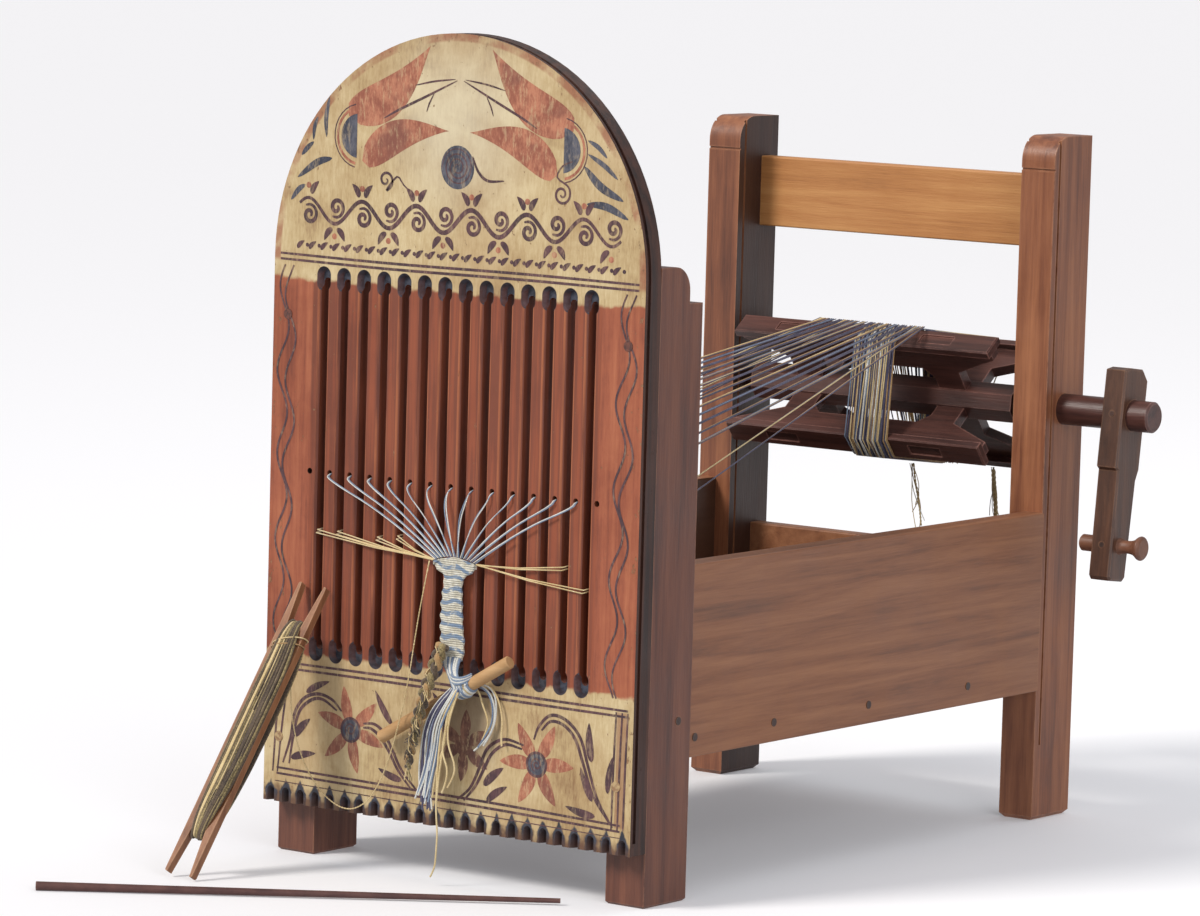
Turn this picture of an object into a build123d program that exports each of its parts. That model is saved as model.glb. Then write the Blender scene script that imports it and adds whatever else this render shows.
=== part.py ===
"""A small box tape loom: a pierced heddle board, side rails, rear posts, and a crank reel for the warp.

Millimetres. +X runs to the right along the board, +Y runs from the board back to the reel, +Z is up.
Sizes are given from the loom's middle plane, the board's front face and the floor. The function at()
moves them to the origin, which is on the floor in the middle of the whole footprint.
"""
import math
import os

from build123d import *

os.makedirs("parts", exist_ok=True)

# ---------------------------------------------------------------- where the origin is
middle_x = -21.5
front_y = -129.4

# ---------------------------------------------------------------- heddle board
board_width = 228.6
board_thickness = 12.4
board_bottom = 27.0
arch_spring = 300.5
board_half = board_width / 2
arch_top = arch_spring + board_half
pitch = 12.7
slot_count = 14
slot_width = 4.4
slot_bottom = 106.0
slot_top = 291.0
slot_chamfer = 1.1
scoop_width = 8.6
scoop_length = 12.5
scoop_depth = 3.2
scoop_taper = 30
top_scoop_z = 290.4
bottom_scoop_z = 106.6
hole_count = 15
hole_radius = 1.5
hole_z = 194.7
gouge_count = 24
gouge_width = 4.4
gouge_height = 7.5
gouge_depth = 3.2
gouge_taper = 28
edge_groove_y = 1.8
edge_groove_width = 2.4
edge_groove_depth = 1.2
edge_groove_bottom = 33.0

# ---------------------------------------------------------------- front posts and side rails
front_post_width = 23.0
front_post_depth = 34.0
front_post_step_z = 290.7
front_post_upper_depth = 23.5
front_post_top = 308.6
front_post_round = 12.0
front_post_back = board_thickness + front_post_depth
post_foot_chamfer = 1.2
rail_outer_x = 112.0
rail_thickness = 12.0
rail_bottom = 69.2
rail_top = 163.8
rail_edge_round = 1.0

# ---------------------------------------------------------------- rear posts
rear_post_outer_x = 111.0
rear_post_width = 20.4
rear_post_front = 361.4
rear_post_depth = 35.7
rear_post_height = 361.0
rear_post_round = 13.0
rear_post_inner_x = rear_post_outer_x - rear_post_width
rear_post_back = rear_post_front + rear_post_depth
bead_offset = 5.2
bead_width = 1.6
bead_depth = 1.1
bead_bottom = 40.0
scribe_z = 343.5
scribe_width = 1.2
scribe_depth = 0.8
foot_chamfer = 2.2

# ---------------------------------------------------------------- cross rails and bottom board
cross_rail_thickness = 10.0
cross_rail_front = 382.0
top_rail_bottom = 301.3
top_rail_top = 339.3
back_rail_bottom = 72.0
back_rail_top = 138.3
tenon_length = 9.0
tenon_shoulder = 5.0
bottom_board_z = 72.5
bottom_board_thickness = 13.0

# ---------------------------------------------------------------- wooden pegs
peg_radius = 2.1
board_peg_radius = 2.6
board_peg_x = 105.0
board_peg_heights = (271.5, 60.0)
board_peg_length = 27.0
rail_peg_z = 79.0
rail_peg_ys = (53.5, 120.0, 203.0, 294.0)
rail_peg_length = 25.0
corner_peg_y = 36.3
corner_peg_z = 89.0
corner_peg_length = 15.0
post_peg_y = cross_rail_front + cross_rail_thickness / 2
post_peg_inset = 4.6
peg_proud = 0.3

# ---------------------------------------------------------------- reel
axle_y = 379.2
axle_z = 217.5
axle_flats = 20.0
axle_half_length = 84.0
shaft_radius = 8.2
journal_radius = 6.0
bearing_gap = 0.05
journal_end = 110.0
shaft_end = 166.5
reel_phase = 52.0
vane_count = 4
vane_thickness = 6.0
vane_root = 7.2
vane_outer = 37.7
rail_inner_radius = 23.5
vane_half_length = 80.5
neck_centre = 46.0
neck_half = 8.5
neck_flare = 6.0
vane_end_slope = 22.0
slat_thickness = 4.3
slat_width = 13.4
slat_half_length = 81.5
slat_outer = vane_outer + slat_thickness
slat_edge = 0.7
tenon_half = 10.0
tenon_recess = 0.7

# ---------------------------------------------------------------- crank
arm_swing = 7.0
arm_inner_x = 141.3
arm_thickness = 12.3
arm_width = 23.0
arm_above = 24.5
arm_shoulder = 28.0
arm_below = 87.0
arm_low_width = 18.6
arm_tip_width = 16.6
arm_top_chamfer = 5.5
arm_edge = 1.0
handle_distance = 68.5
handle_radius = 4.4
handle_inner_x = 130.5
handle_outer_x = 168.0
knob_radius = 6.4
crank_pin_radius = 1.5

# ---------------------------------------------------------------- warp
thread_radius = 0.4
thread_clear = 0.6
winding_thickness = 2.6
winding_gap = 0.05
winding_width = 27.0
winding_centre = 11.0
heddle_hole_numbers = range(-6, 7)
threaded_slots = (0, 1, 3, 4, 12, 13)
slot_thread_z = 164.4
reel_spread = 0.4
reel_end_y = 356.6
reel_end_z = 257.4
tail_radius = 0.6
bunch_radius = 1.3
tail_route = ((16.0, 381.0, 180.3), (17.0, 381.5, 170.0), (20.0, 382.0, 158.5), (21.5, 382.0, 147.0))
bunch_route = ((54.0, 401.0, 178.6), (54.6, 401.5, 169.5), (56.5, 401.0, 158.5), (57.5, 400.0, 146.5))

# ---------------------------------------------------------------- tape, knot and fringe
fell_x = 7.2
fell_half_width = 13.0
fell_z = 161.2
fell_drop = 2.6
fell_y = -4.8
tape_back_y = -4.0
tape_thickness = 1.6
tape_stick_low = (-34.0, -7.0, 68.5)
tape_stick_high = (44.6, -7.0, 114.4)
tape_stick_radius = 3.2
knot_centre = (14.0, -9.0, 105.6)
knot_radius = 5.2
wrap_centre = (18.0, -7.0, 98.9)
wrap_length = 9.0
wrap_radius = 4.7
wrap_gap = 0.2
braid_radius = 3.0
braid_route = (
    (5.0, -9.4, 118.5),
    (2.4, -12.8, 107.5),
    (-0.8, -14.8, 96.0),
    (-4.2, -15.6, 83.0),
    (-8.0, -15.2, 69.5),
    (-10.8, -14.6, 57.0),
)

# ---------------------------------------------------------------- weft thread, shuttle and stick
weft_route = (
    (-7.6, -5.6, 158.4),
    (-9.5, -8.5, 140.0),
    (-11.5, -10.5, 120.5),
    (-13.2, -12.2, 101.5),
    (-16.8, -12.9, 83.5),
    (-22.0, -12.8, 65.5),
    (-29.0, -12.2, 48.5),
    (-38.5, -11.5, 35.5),
    (-51.0, -11.0, 30.0),
    (-64.5, -11.0, 34.5),
    (-76.0, -11.2, 45.5),
    (-83.5, -12.0, 60.0),
    (-86.8, -13.0, 76.0),
    (-86.2, -14.4, 91.5),
    (-84.3, -16.9, 105.5),
)
shuttle_foot = (-94.3, -85.6, 2.0)
shuttle_head = (-81.5, -2.9, 138.0)
shuttle_width = 18.0
shuttle_thickness = 4.0
shuttle_notch = 24.0
shuttle_notch_width = 9.0
shuttle_notch_mouth = 14.8
yarn_length = 132.0
yarn_half_thickness = 5.8
yarn_width = 8.6
yarn_gap = 0.1
stick_left = (-123.5, -157.5, 2.3)
stick_right = (79.4, -7.6, 2.3)
stick_radius = 2.2
stick_tip_radius = 1.2


def at(x, y, z):
    """A point in the part's frame, from the loom's middle plane, the board's face and the floor."""
    return (x + middle_x, y + front_y, z)


def facing_front(y):
    """A plane parallel to the board's face: its x is the loom's x and its y is the height."""
    return Plane(origin=at(0, y, 0), x_dir=(1, 0, 0), z_dir=(0, -1, 0))


def facing_side(x):
    """A plane parallel to the side rails: its x is the depth and its y is the height."""
    return Plane(origin=at(x, 0, 0), x_dir=(0, 1, 0), z_dir=(1, 0, 0))


def facing_up(z):
    """A horizontal plane in the loom's own x and y."""
    return Plane(origin=at(0, 0, z), x_dir=(1, 0, 0), z_dir=(0, 0, 1))


def centred_box(x_range, y_range, z_range, round_radius=0.0):
    """A plain board or bar between two values on each axis, its long edges eased by round_radius."""
    with BuildPart() as bar:
        with BuildSketch(facing_up(z_range[0])):
            with Locations(((x_range[0] + x_range[1]) / 2, (y_range[0] + y_range[1]) / 2)):
                Rectangle(x_range[1] - x_range[0], y_range[1] - y_range[0])
        extrude(amount=z_range[1] - z_range[0])
        if round_radius:
            long_axis = Axis.X if x_range[1] - x_range[0] > y_range[1] - y_range[0] else Axis.Y
            fillet(bar.edges().filter_by(long_axis), radius=round_radius)
    return bar


# ================================================================ heddle board
with BuildPart() as heddle_board:
    with BuildSketch(facing_front(0)):
        with Locations((0, board_bottom)):
            Rectangle(board_width, arch_spring - board_bottom, align=(Align.CENTER, Align.MIN))
        with Locations((0, arch_spring)):
            Circle(board_half)
    extrude(amount=-board_thickness)
    # fourteen slots, with eased front edges
    slot_middle = (slot_bottom + slot_top) / 2
    slot_length = slot_top - slot_bottom
    with BuildSketch(facing_front(0)):
        with Locations((0, slot_middle)):
            with GridLocations(pitch, 0, slot_count, 1):
                SlotOverall(slot_length, slot_width, rotation=90)
    extrude(amount=-board_thickness, mode=Mode.SUBTRACT)
    with BuildSketch(facing_front(0)):
        with Locations((0, slot_middle)):
            with GridLocations(pitch, 0, slot_count, 1):
                SlotOverall(slot_length, slot_width + 2 * slot_chamfer, rotation=90)
    extrude(amount=-slot_chamfer, taper=45, mode=Mode.SUBTRACT)
    # gouged scoops at both ends of every slot
    with BuildSketch(facing_front(0)):
        for scoop_z in (top_scoop_z, bottom_scoop_z):
            with Locations((0, scoop_z)):
                with GridLocations(pitch, 0, slot_count, 1):
                    SlotOverall(scoop_length, scoop_width, rotation=90)
    extrude(amount=-scoop_depth, taper=scoop_taper, mode=Mode.SUBTRACT)
    # one hole through every bar, and one in each margin
    with BuildSketch(facing_front(0)):
        with Locations((0, hole_z)):
            with GridLocations(pitch, 0, hole_count, 1):
                Circle(hole_radius)
    extrude(amount=-board_thickness, mode=Mode.SUBTRACT)
    # a row of small gouges along the bottom edge
    with BuildSketch(facing_front(0)):
        with Locations((0, board_bottom)):
            with GridLocations(board_width / gouge_count, 0, gouge_count, 1):
                SlotOverall(2 * gouge_height, gouge_width, rotation=90)
    extrude(amount=-gouge_depth, taper=gouge_taper, mode=Mode.SUBTRACT)
    # a stopped groove round the edge, just behind the front corner
    with BuildSketch(facing_front(edge_groove_y)):
        with Locations((0, edge_groove_bottom)):
            Rectangle(board_width + 2, arch_spring - edge_groove_bottom, align=(Align.CENTER, Align.MIN))
        with Locations((0, arch_spring)):
            Circle(board_half + 1)
        with Locations((0, board_bottom)):
            Rectangle(
                board_width - 2 * edge_groove_depth,
                arch_spring - board_bottom,
                align=(Align.CENTER, Align.MIN),
                mode=Mode.SUBTRACT,
            )
        with Locations((0, arch_spring)):
            Circle(board_half - edge_groove_depth, mode=Mode.SUBTRACT)
    extrude(amount=-edge_groove_width, mode=Mode.SUBTRACT)
    # peg holes
    with BuildSketch(facing_front(0)):
        with Locations([(side * board_peg_x, z) for side in (-1, 1) for z in board_peg_heights]):
            Circle(board_peg_radius)
    extrude(amount=-board_thickness, mode=Mode.SUBTRACT)


# ================================================================ front posts
def front_post(side):
    """The post behind one edge of the board. Its top steps in and rounds over. side is -1 or 1."""
    inner_x = board_half - front_post_width
    start_x = inner_x if side > 0 else -board_half
    upper_back = board_thickness + front_post_upper_depth
    with BuildPart() as post:
        with BuildSketch(facing_side(start_x)):
            with BuildLine():
                Polyline(
                    (upper_back, front_post_top - front_post_round),
                    (upper_back, front_post_step_z),
                    (front_post_back, front_post_step_z),
                    (front_post_back, 0),
                    (board_thickness, 0),
                    (board_thickness, front_post_top),
                    (upper_back - front_post_round, front_post_top),
                )
                RadiusArc(
                    (upper_back - front_post_round, front_post_top),
                    (upper_back, front_post_top - front_post_round),
                    front_post_round,
                )
            make_face()
        extrude(amount=front_post_width)
        chamfer(post.faces().sort_by(Axis.Z)[0].edges(), length=post_foot_chamfer)
        with BuildSketch(facing_front(board_thickness)):
            with Locations([(side * board_peg_x, z) for z in board_peg_heights]):
                Circle(board_peg_radius)
        extrude(amount=-(board_peg_length - board_thickness), mode=Mode.SUBTRACT)
        with BuildSketch(facing_side(side * board_half)):
            with Locations((corner_peg_y, corner_peg_z)):
                Circle(peg_radius)
        extrude(amount=-side * corner_peg_length, mode=Mode.SUBTRACT)
    return post


front_post_left = front_post(-1)
front_post_right = front_post(1)


# ================================================================ side rails
def side_rail(side):
    """The board between a front and a rear post, pegged to the bottom board."""
    inner_x = rail_outer_x - rail_thickness
    x_range = (inner_x, rail_outer_x) if side > 0 else (-rail_outer_x, -inner_x)
    with BuildPart() as rail:
        add(centred_box(x_range, (front_post_back, rear_post_front), (rail_bottom, rail_top), rail_edge_round))
        with BuildSketch(facing_side(side * rail_outer_x)):
            with Locations([(y, rail_peg_z) for y in rail_peg_ys]):
                Circle(peg_radius)
        extrude(amount=-side * rail_thickness, mode=Mode.SUBTRACT)
    return rail


side_rail_left = side_rail(-1)
side_rail_right = side_rail(1)


# ================================================================ rear posts
def rear_post(side, bore_radius):
    """One rear post: rounded at the top front, beaded down both front corners, bored for the reel."""
    start_x = rear_post_inner_x if side > 0 else -rear_post_outer_x
    with BuildPart() as post:
        with BuildSketch(facing_side(start_x)):
            with Locations((rear_post_front, 0)):
                Rectangle(rear_post_depth, rear_post_height, align=(Align.MIN, Align.MIN))
        extrude(amount=rear_post_width)
        front_top = post.edges().filter_by(Axis.X).group_by(Axis.Y)[0].sort_by(Axis.Z)[-1]
        fillet(front_top, radius=rear_post_round)
        chamfer(post.faces().sort_by(Axis.Z)[0].edges(), length=foot_chamfer)
        # the quirk behind each front bead, down both side faces
        with BuildSketch(facing_up(bead_bottom)):
            with Locations(
                (start_x, rear_post_front + bead_offset),
                (start_x + rear_post_width, rear_post_front + bead_offset),
            ):
                Rectangle(2 * bead_depth, bead_width)
        extrude(amount=rear_post_height - bead_bottom, mode=Mode.SUBTRACT)
        # the scribed line across the front
        with BuildSketch(facing_front(rear_post_front)):
            with Locations((start_x + rear_post_width / 2, scribe_z)):
                Rectangle(rear_post_width, scribe_width)
        extrude(amount=-scribe_depth, mode=Mode.SUBTRACT)
        # the bearing hole
        with BuildSketch(facing_side(start_x)):
            with Locations((axle_y, axle_z)):
                Circle(bore_radius)
        extrude(amount=rear_post_width, mode=Mode.SUBTRACT)
        # mortises for the two cross rails
        for low, high in ((top_rail_bottom, top_rail_top), (back_rail_bottom, back_rail_top)):
            with BuildSketch(facing_side(side * rear_post_inner_x)):
                with Locations((post_peg_y, (low + high) / 2)):
                    Rectangle(cross_rail_thickness, high - low - 2 * tenon_shoulder)
            extrude(amount=side * tenon_length, mode=Mode.SUBTRACT)
        # peg holes through the tenons, from the back
        with BuildSketch(facing_front(rear_post_back)):
            peg_x = side * (rear_post_inner_x + post_peg_inset)
            with Locations(
                (peg_x, (top_rail_bottom + top_rail_top) / 2),
                (peg_x, (back_rail_bottom + back_rail_top) / 2),
            ):
                Circle(peg_radius)
        extrude(amount=rear_post_back - cross_rail_front + 2, mode=Mode.SUBTRACT)
    return post


rear_post_left = rear_post(-1, journal_radius + bearing_gap)
rear_post_right = rear_post(1, shaft_radius + bearing_gap)


# ================================================================ cross rails and bottom board
def cross_rail(low, high):
    """A rail between the rear posts, tenoned into both and pegged from the back."""
    with BuildPart() as rail:
        add(
            centred_box(
                (-rear_post_inner_x, rear_post_inner_x),
                (cross_rail_front, cross_rail_front + cross_rail_thickness),
                (low, high),
                rail_edge_round,
            )
        )
        with BuildSketch(facing_side(-rear_post_inner_x - tenon_length)):
            with Locations((post_peg_y, (low + high) / 2)):
                Rectangle(cross_rail_thickness, high - low - 2 * tenon_shoulder)
        extrude(amount=2 * (rear_post_inner_x + tenon_length))
        with BuildSketch(facing_front(rear_post_back)):
            with Locations(
                (-rear_post_inner_x - post_peg_inset, (low + high) / 2),
                (rear_post_inner_x + post_peg_inset, (low + high) / 2),
            ):
                Circle(peg_radius)
        extrude(amount=rear_post_back - cross_rail_front + 2, mode=Mode.SUBTRACT)
    return rail


top_rail = cross_rail(top_rail_bottom, top_rail_top)
lower_back_rail = cross_rail(back_rail_bottom, back_rail_top)

with BuildPart() as bottom_board:
    add(
        centred_box(
            (-(rail_outer_x - rail_thickness), rail_outer_x - rail_thickness),
            (front_post_back, rear_post_front),
            (bottom_board_z, bottom_board_z + bottom_board_thickness),
        )
    )
    with BuildSketch(facing_side(-(rail_outer_x - rail_thickness))):
        with Locations([(y, rail_peg_z) for y in rail_peg_ys]):
            Circle(peg_radius)
    extrude(amount=rail_peg_length - rail_thickness, mode=Mode.SUBTRACT)
    with BuildSketch(facing_side(rail_outer_x - rail_thickness)):
        with Locations([(y, rail_peg_z) for y in rail_peg_ys]):
            Circle(peg_radius)
    extrude(amount=-(rail_peg_length - rail_thickness), mode=Mode.SUBTRACT)

# ================================================================ pegs
with BuildPart() as board_pegs:
    with BuildSketch(facing_front(-peg_proud)):
        with Locations([(side * board_peg_x, z) for side in (-1, 1) for z in board_peg_heights]):
            Circle(board_peg_radius)
    extrude(amount=-(board_peg_length + peg_proud))

with BuildPart() as rail_pegs:
    for side in (-1, 1):
        with BuildSketch(facing_side(side * (rail_outer_x + peg_proud))):
            with Locations([(y, rail_peg_z) for y in rail_peg_ys]):
                Circle(peg_radius)
        extrude(amount=-side * (rail_peg_length + peg_proud))
        with BuildSketch(facing_side(side * (board_half + peg_proud))):
            with Locations((corner_peg_y, corner_peg_z)):
                Circle(peg_radius)
        extrude(amount=-side * (corner_peg_length + peg_proud))

with BuildPart() as tenon_pegs:
    with BuildSketch(facing_front(rear_post_back + peg_proud)):
        for low, high in ((top_rail_bottom, top_rail_top), (back_rail_bottom, back_rail_top)):
            for side in (-1, 1):
                with Locations((side * (rear_post_inner_x + post_peg_inset), (low + high) / 2)):
                    Circle(peg_radius)
    extrude(amount=rear_post_back + peg_proud - cross_rail_front + 2)


# ================================================================ reel
def spoke_plane(index, x=0.0):
    """The plane of one vane: its x is the loom's x and its y is the distance out from the axle."""
    angle = math.radians(reel_phase + 360 / vane_count * index)
    return Plane(
        origin=at(x, axle_y, axle_z),
        x_dir=(1, 0, 0),
        z_dir=(0, -math.sin(angle), -math.cos(angle)),
    )


def reel_vane(index):
    """A sawn board on two necks, which stand in the axle. Its tenons go through the slat."""
    inner_edge = neck_centre - neck_half
    outer_edge = neck_centre + neck_half
    with BuildPart() as vane:
        with BuildSketch(spoke_plane(index)) as outline:
            for side in (-1, 1):
                with BuildLine():
                    Polyline(
                        (0, rail_inner_radius),
                        (side * (inner_edge - neck_flare), rail_inner_radius),
                        (side * inner_edge, rail_inner_radius - neck_flare),
                        (side * inner_edge, vane_root),
                        (side * outer_edge, vane_root),
                        (side * outer_edge, vane_end_slope),
                        (side * vane_half_length, vane_outer - slat_thickness),
                        (side * vane_half_length, vane_outer),
                        (0, vane_outer),
                        close=True,
                    )
                make_face()
            with Locations((-neck_centre, vane_outer), (neck_centre, vane_outer)):
                Rectangle(
                    2 * tenon_half,
                    slat_thickness - tenon_recess,
                    align=(Align.CENTER, Align.MIN),
                )
        extrude(amount=vane_thickness / 2, both=True)
    return vane


def reel_slat(index):
    """The flat slat that the warp is wound on, mortised over its vane's two tenons."""
    angle = math.radians(reel_phase + 360 / vane_count * index)
    outward = Vector(0, -math.cos(angle), math.sin(angle))
    seat = Vector(at(0, axle_y, axle_z)) + outward * vane_outer
    with BuildPart() as slat:
        with BuildSketch(Plane(origin=seat, x_dir=(1, 0, 0), z_dir=outward)):
            Rectangle(2 * slat_half_length, slat_width)
        extrude(amount=slat_thickness)
        chamfer(slat.faces().sort_by(Axis(seat, outward))[-1].edges(), length=slat_edge)
        with BuildSketch(Plane(origin=seat, x_dir=(1, 0, 0), z_dir=outward)):
            with Locations((-neck_centre, 0), (neck_centre, 0)):
                Rectangle(2 * tenon_half, vane_thickness)
        extrude(amount=slat_thickness, mode=Mode.SUBTRACT)
    return slat


reel_vanes = [reel_vane(index) for index in range(vane_count)]
reel_slats = [reel_slat(index) for index in range(vane_count)]


def arm_plane(x):
    """The crank arm's plane: its y runs up the arm, which hangs arm_swing degrees off upright."""
    swing = math.radians(arm_swing)
    return Plane(
        origin=at(x, axle_y, axle_z),
        x_dir=(0, math.cos(swing), -math.sin(swing)),
        z_dir=(1, 0, 0),
    )


def across_arm(distance):
    """A plane whose normal runs across the arm's width, at a distance down the arm from the axle."""
    swing = math.radians(arm_swing)
    down = Vector(0, -math.sin(swing), -math.cos(swing))
    middle = Vector(at(arm_inner_x + arm_thickness / 2, axle_y, axle_z)) + down * distance
    return Plane(origin=middle, x_dir=(1, 0, 0), z_dir=(0, math.cos(swing), -math.sin(swing)))


with BuildPart() as reel_axle:
    # an eight-sided middle, its flats square to the vanes
    with BuildSketch(facing_side(-axle_half_length)):
        with Locations((axle_y, axle_z)):
            RegularPolygon(axle_flats / 2, 8, major_radius=False, rotation=22.5 - reel_phase)
    extrude(amount=2 * axle_half_length)
    # a plain journal on the left, and the crank shaft on the right
    with BuildSketch(facing_side(-axle_half_length)):
        with Locations((axle_y, axle_z)):
            Circle(journal_radius)
    extrude(amount=-(journal_end - axle_half_length))
    with BuildSketch(facing_side(axle_half_length)):
        with Locations((axle_y, axle_z)):
            Circle(shaft_radius)
    extrude(amount=shaft_end - axle_half_length)
    chamfer(reel_axle.faces().sort_by(Axis.X)[-1].edges(), length=1.0)
    chamfer(reel_axle.faces().sort_by(Axis.X)[0].edges(), length=0.8)
    # mortises for the vanes' necks
    for spoke in range(vane_count):
        with BuildSketch(spoke_plane(spoke)):
            with Locations((-neck_centre, vane_root), (neck_centre, vane_root)):
                Rectangle(2 * neck_half, axle_flats, align=(Align.CENTER, Align.MIN))
        extrude(amount=vane_thickness / 2, both=True, mode=Mode.SUBTRACT)
    # the hole for the pin that holds the arm
    with BuildSketch(across_arm(0)):
        Circle(crank_pin_radius)
    extrude(amount=arm_width, both=True, mode=Mode.SUBTRACT)

# ================================================================ crank
with BuildPart() as crank_arm:
    with BuildSketch(arm_plane(arm_inner_x)):
        with BuildLine():
            Polyline(
                (-arm_width / 2 + arm_top_chamfer, arm_above),
                (arm_width / 2 - arm_top_chamfer, arm_above),
                (arm_width / 2, arm_above - arm_top_chamfer),
                (arm_width / 2, -arm_shoulder),
                (arm_low_width / 2, -arm_shoulder - 6),
                (arm_tip_width / 2, -arm_below + 2),
                (arm_tip_width / 2 - 2, -arm_below),
                (-arm_tip_width / 2 + 2, -arm_below),
                (-arm_tip_width / 2, -arm_below + 2),
                (-arm_low_width / 2, -arm_shoulder - 1.5),
                (-arm_width / 2, -arm_shoulder),
                (-arm_width / 2, arm_above - 1.5),
                close=True,
            )
        make_face()
    extrude(amount=arm_thickness)
    chamfer(crank_arm.faces().sort_by(Axis.X)[-1].edges(), length=arm_edge)
    chamfer(crank_arm.faces().sort_by(Axis.X)[0].edges(), length=arm_edge / 2)
    with BuildSketch(arm_plane(arm_inner_x)):
        Circle(shaft_radius)
        with Locations((0, -handle_distance)):
            Circle(handle_radius)
    extrude(amount=arm_thickness, mode=Mode.SUBTRACT)
    for distance in (0, handle_distance):
        with BuildSketch(across_arm(distance)):
            Circle(crank_pin_radius)
        extrude(amount=arm_width, both=True, mode=Mode.SUBTRACT)

with BuildPart() as crank_pin:
    with BuildSketch(across_arm(0)):
        Circle(crank_pin_radius)
    extrude(amount=arm_width / 2 + peg_proud, both=True)

with BuildPart() as handle_pin:
    with BuildSketch(across_arm(handle_distance)):
        Circle(crank_pin_radius)
    extrude(amount=arm_tip_width / 2 + peg_proud, both=True)

with BuildPart() as crank_handle:
    # turned: a plain button inside the arm, a neck outside it, and a flared knob
    swing_angle = math.radians(arm_swing)
    handle_y = axle_y - handle_distance * math.sin(swing_angle)
    handle_z = axle_z - handle_distance * math.cos(swing_angle)
    arm_outer_x = arm_inner_x + arm_thickness
    with BuildSketch(Plane(origin=at(0, handle_y, handle_z), x_dir=(1, 0, 0), z_dir=(0, -1, 0))):
        with BuildLine():
            Polyline(
                (arm_outer_x, handle_radius),
                (handle_inner_x + 0.8, handle_radius),
                (handle_inner_x, handle_radius - 0.8),
                (handle_inner_x, 0),
                (handle_outer_x, 0),
                (handle_outer_x, knob_radius - 1.6),
            )
            Spline(
                (handle_outer_x, knob_radius - 1.6),
                (handle_outer_x - 1.8, knob_radius),
                (handle_outer_x - 4.6, knob_radius - 1.8),
                (handle_outer_x - 8.0, handle_radius - 0.9),
                (arm_outer_x, handle_radius),
            )
        make_face()
    revolve(axis=Axis(at(0, handle_y, handle_z), (1, 0, 0)))
    with BuildSketch(across_arm(handle_distance)):
        Circle(crank_pin_radius)
    extrude(amount=arm_width, both=True, mode=Mode.SUBTRACT)


# ================================================================ warp wound on the reel
def reel_square(distance):
    """The four corners, in depth and height, of the slats' outer faces pushed out by distance."""
    half_face = slat_width / 2 - slat_edge
    corners = []
    for index in range(vane_count):
        angle = math.radians(reel_phase + 360 / vane_count * index)
        out_y, out_z = -math.cos(angle), math.sin(angle)
        along_y, along_z = math.sin(angle), math.cos(angle)
        for end in (-half_face, half_face):
            reach = slat_outer + distance
            corners.append((axle_y + reach * out_y + end * along_y, axle_z + reach * out_z + end * along_z))
    return corners


with BuildPart() as warp_winding:
    with BuildSketch(facing_side(winding_centre - winding_width / 2)):
        Polygon(*reel_square(winding_gap + winding_thickness), align=None)
        Polygon(*reel_square(winding_gap), align=None, mode=Mode.SUBTRACT)
    extrude(amount=winding_width)



# ================================================================ warp threads to the board
def taut_thread(points):
    """A thread held tight: straight runs, with a ball at every bend."""
    with BuildPart() as thread:
        for start, end in zip(points, points[1:]):
            run = Vector(end) - Vector(start)
            with BuildSketch(Plane(origin=start, z_dir=run)):
                Circle(thread_radius)
            extrude(amount=run.length)
        with Locations(points[1:-1]):
            Sphere(thread_radius)
    return thread


def warp_thread(board_x, board_z, fell_share):
    """One thread: from the reel, through the board at board_x and board_z, down to the fell."""
    end_x = fell_x + fell_share * fell_half_width
    end_z = fell_z - fell_drop * fell_share**2 + thread_clear
    return taut_thread(
        [
            at(winding_centre / 4 + reel_spread * board_x, reel_end_y, reel_end_z),
            at(board_x, board_thickness + thread_clear, board_z),
            at(board_x, -thread_clear, board_z),
            at(end_x, fell_y, end_z),
        ]
    )


with BuildPart() as heddle_threads:
    for number in heddle_hole_numbers:
        add(warp_thread(number * pitch, hole_z, number / 7).part)

with BuildPart() as slot_threads:
    for slot in threaded_slots:
        slot_x = (slot - (slot_count - 1) / 2) * pitch
        share = math.copysign(1.06 - abs(slot_x) / 1500, slot_x)
        add(warp_thread(slot_x, slot_thread_z + abs(slot_x) / 40, share).part)


# ================================================================ hanging yarn
def hanging_yarn(route, radius):
    """A limp yarn: straight runs joined by arcs as large as the two runs beside each allow."""
    points = [Vector(at(*point)) for point in route]
    radii = []
    for before, corner, after in zip(points, points[1:], points[2:]):
        turn = math.radians((corner - before).get_angle(after - corner))
        shorter = min((corner - before).length, (after - corner).length)
        radii.append(0.45 * shorter / math.tan(turn / 2))
    with BuildPart() as yarn:
        with BuildLine() as path:
            FilletPolyline(*points, radius=radii)
        with BuildSketch(Plane(origin=points[0], z_dir=points[1] - points[0])):
            Circle(radius)
        sweep(path=path.wires()[0])
    print("smallest bend", round(min(radii), 1), "length", round(path.wires()[0].length, 1))
    print("volume over section times length", round(
        yarn.part.volume / (math.pi * radius**2 * path.wires()[0].length), 4))
    return yarn


weft_thread = hanging_yarn(weft_route, thread_radius)
braided_strand = hanging_yarn(braid_route, braid_radius)
warp_tail = hanging_yarn(tail_route, tail_radius)
warp_bunch = hanging_yarn(bunch_route, bunch_radius)

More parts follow.
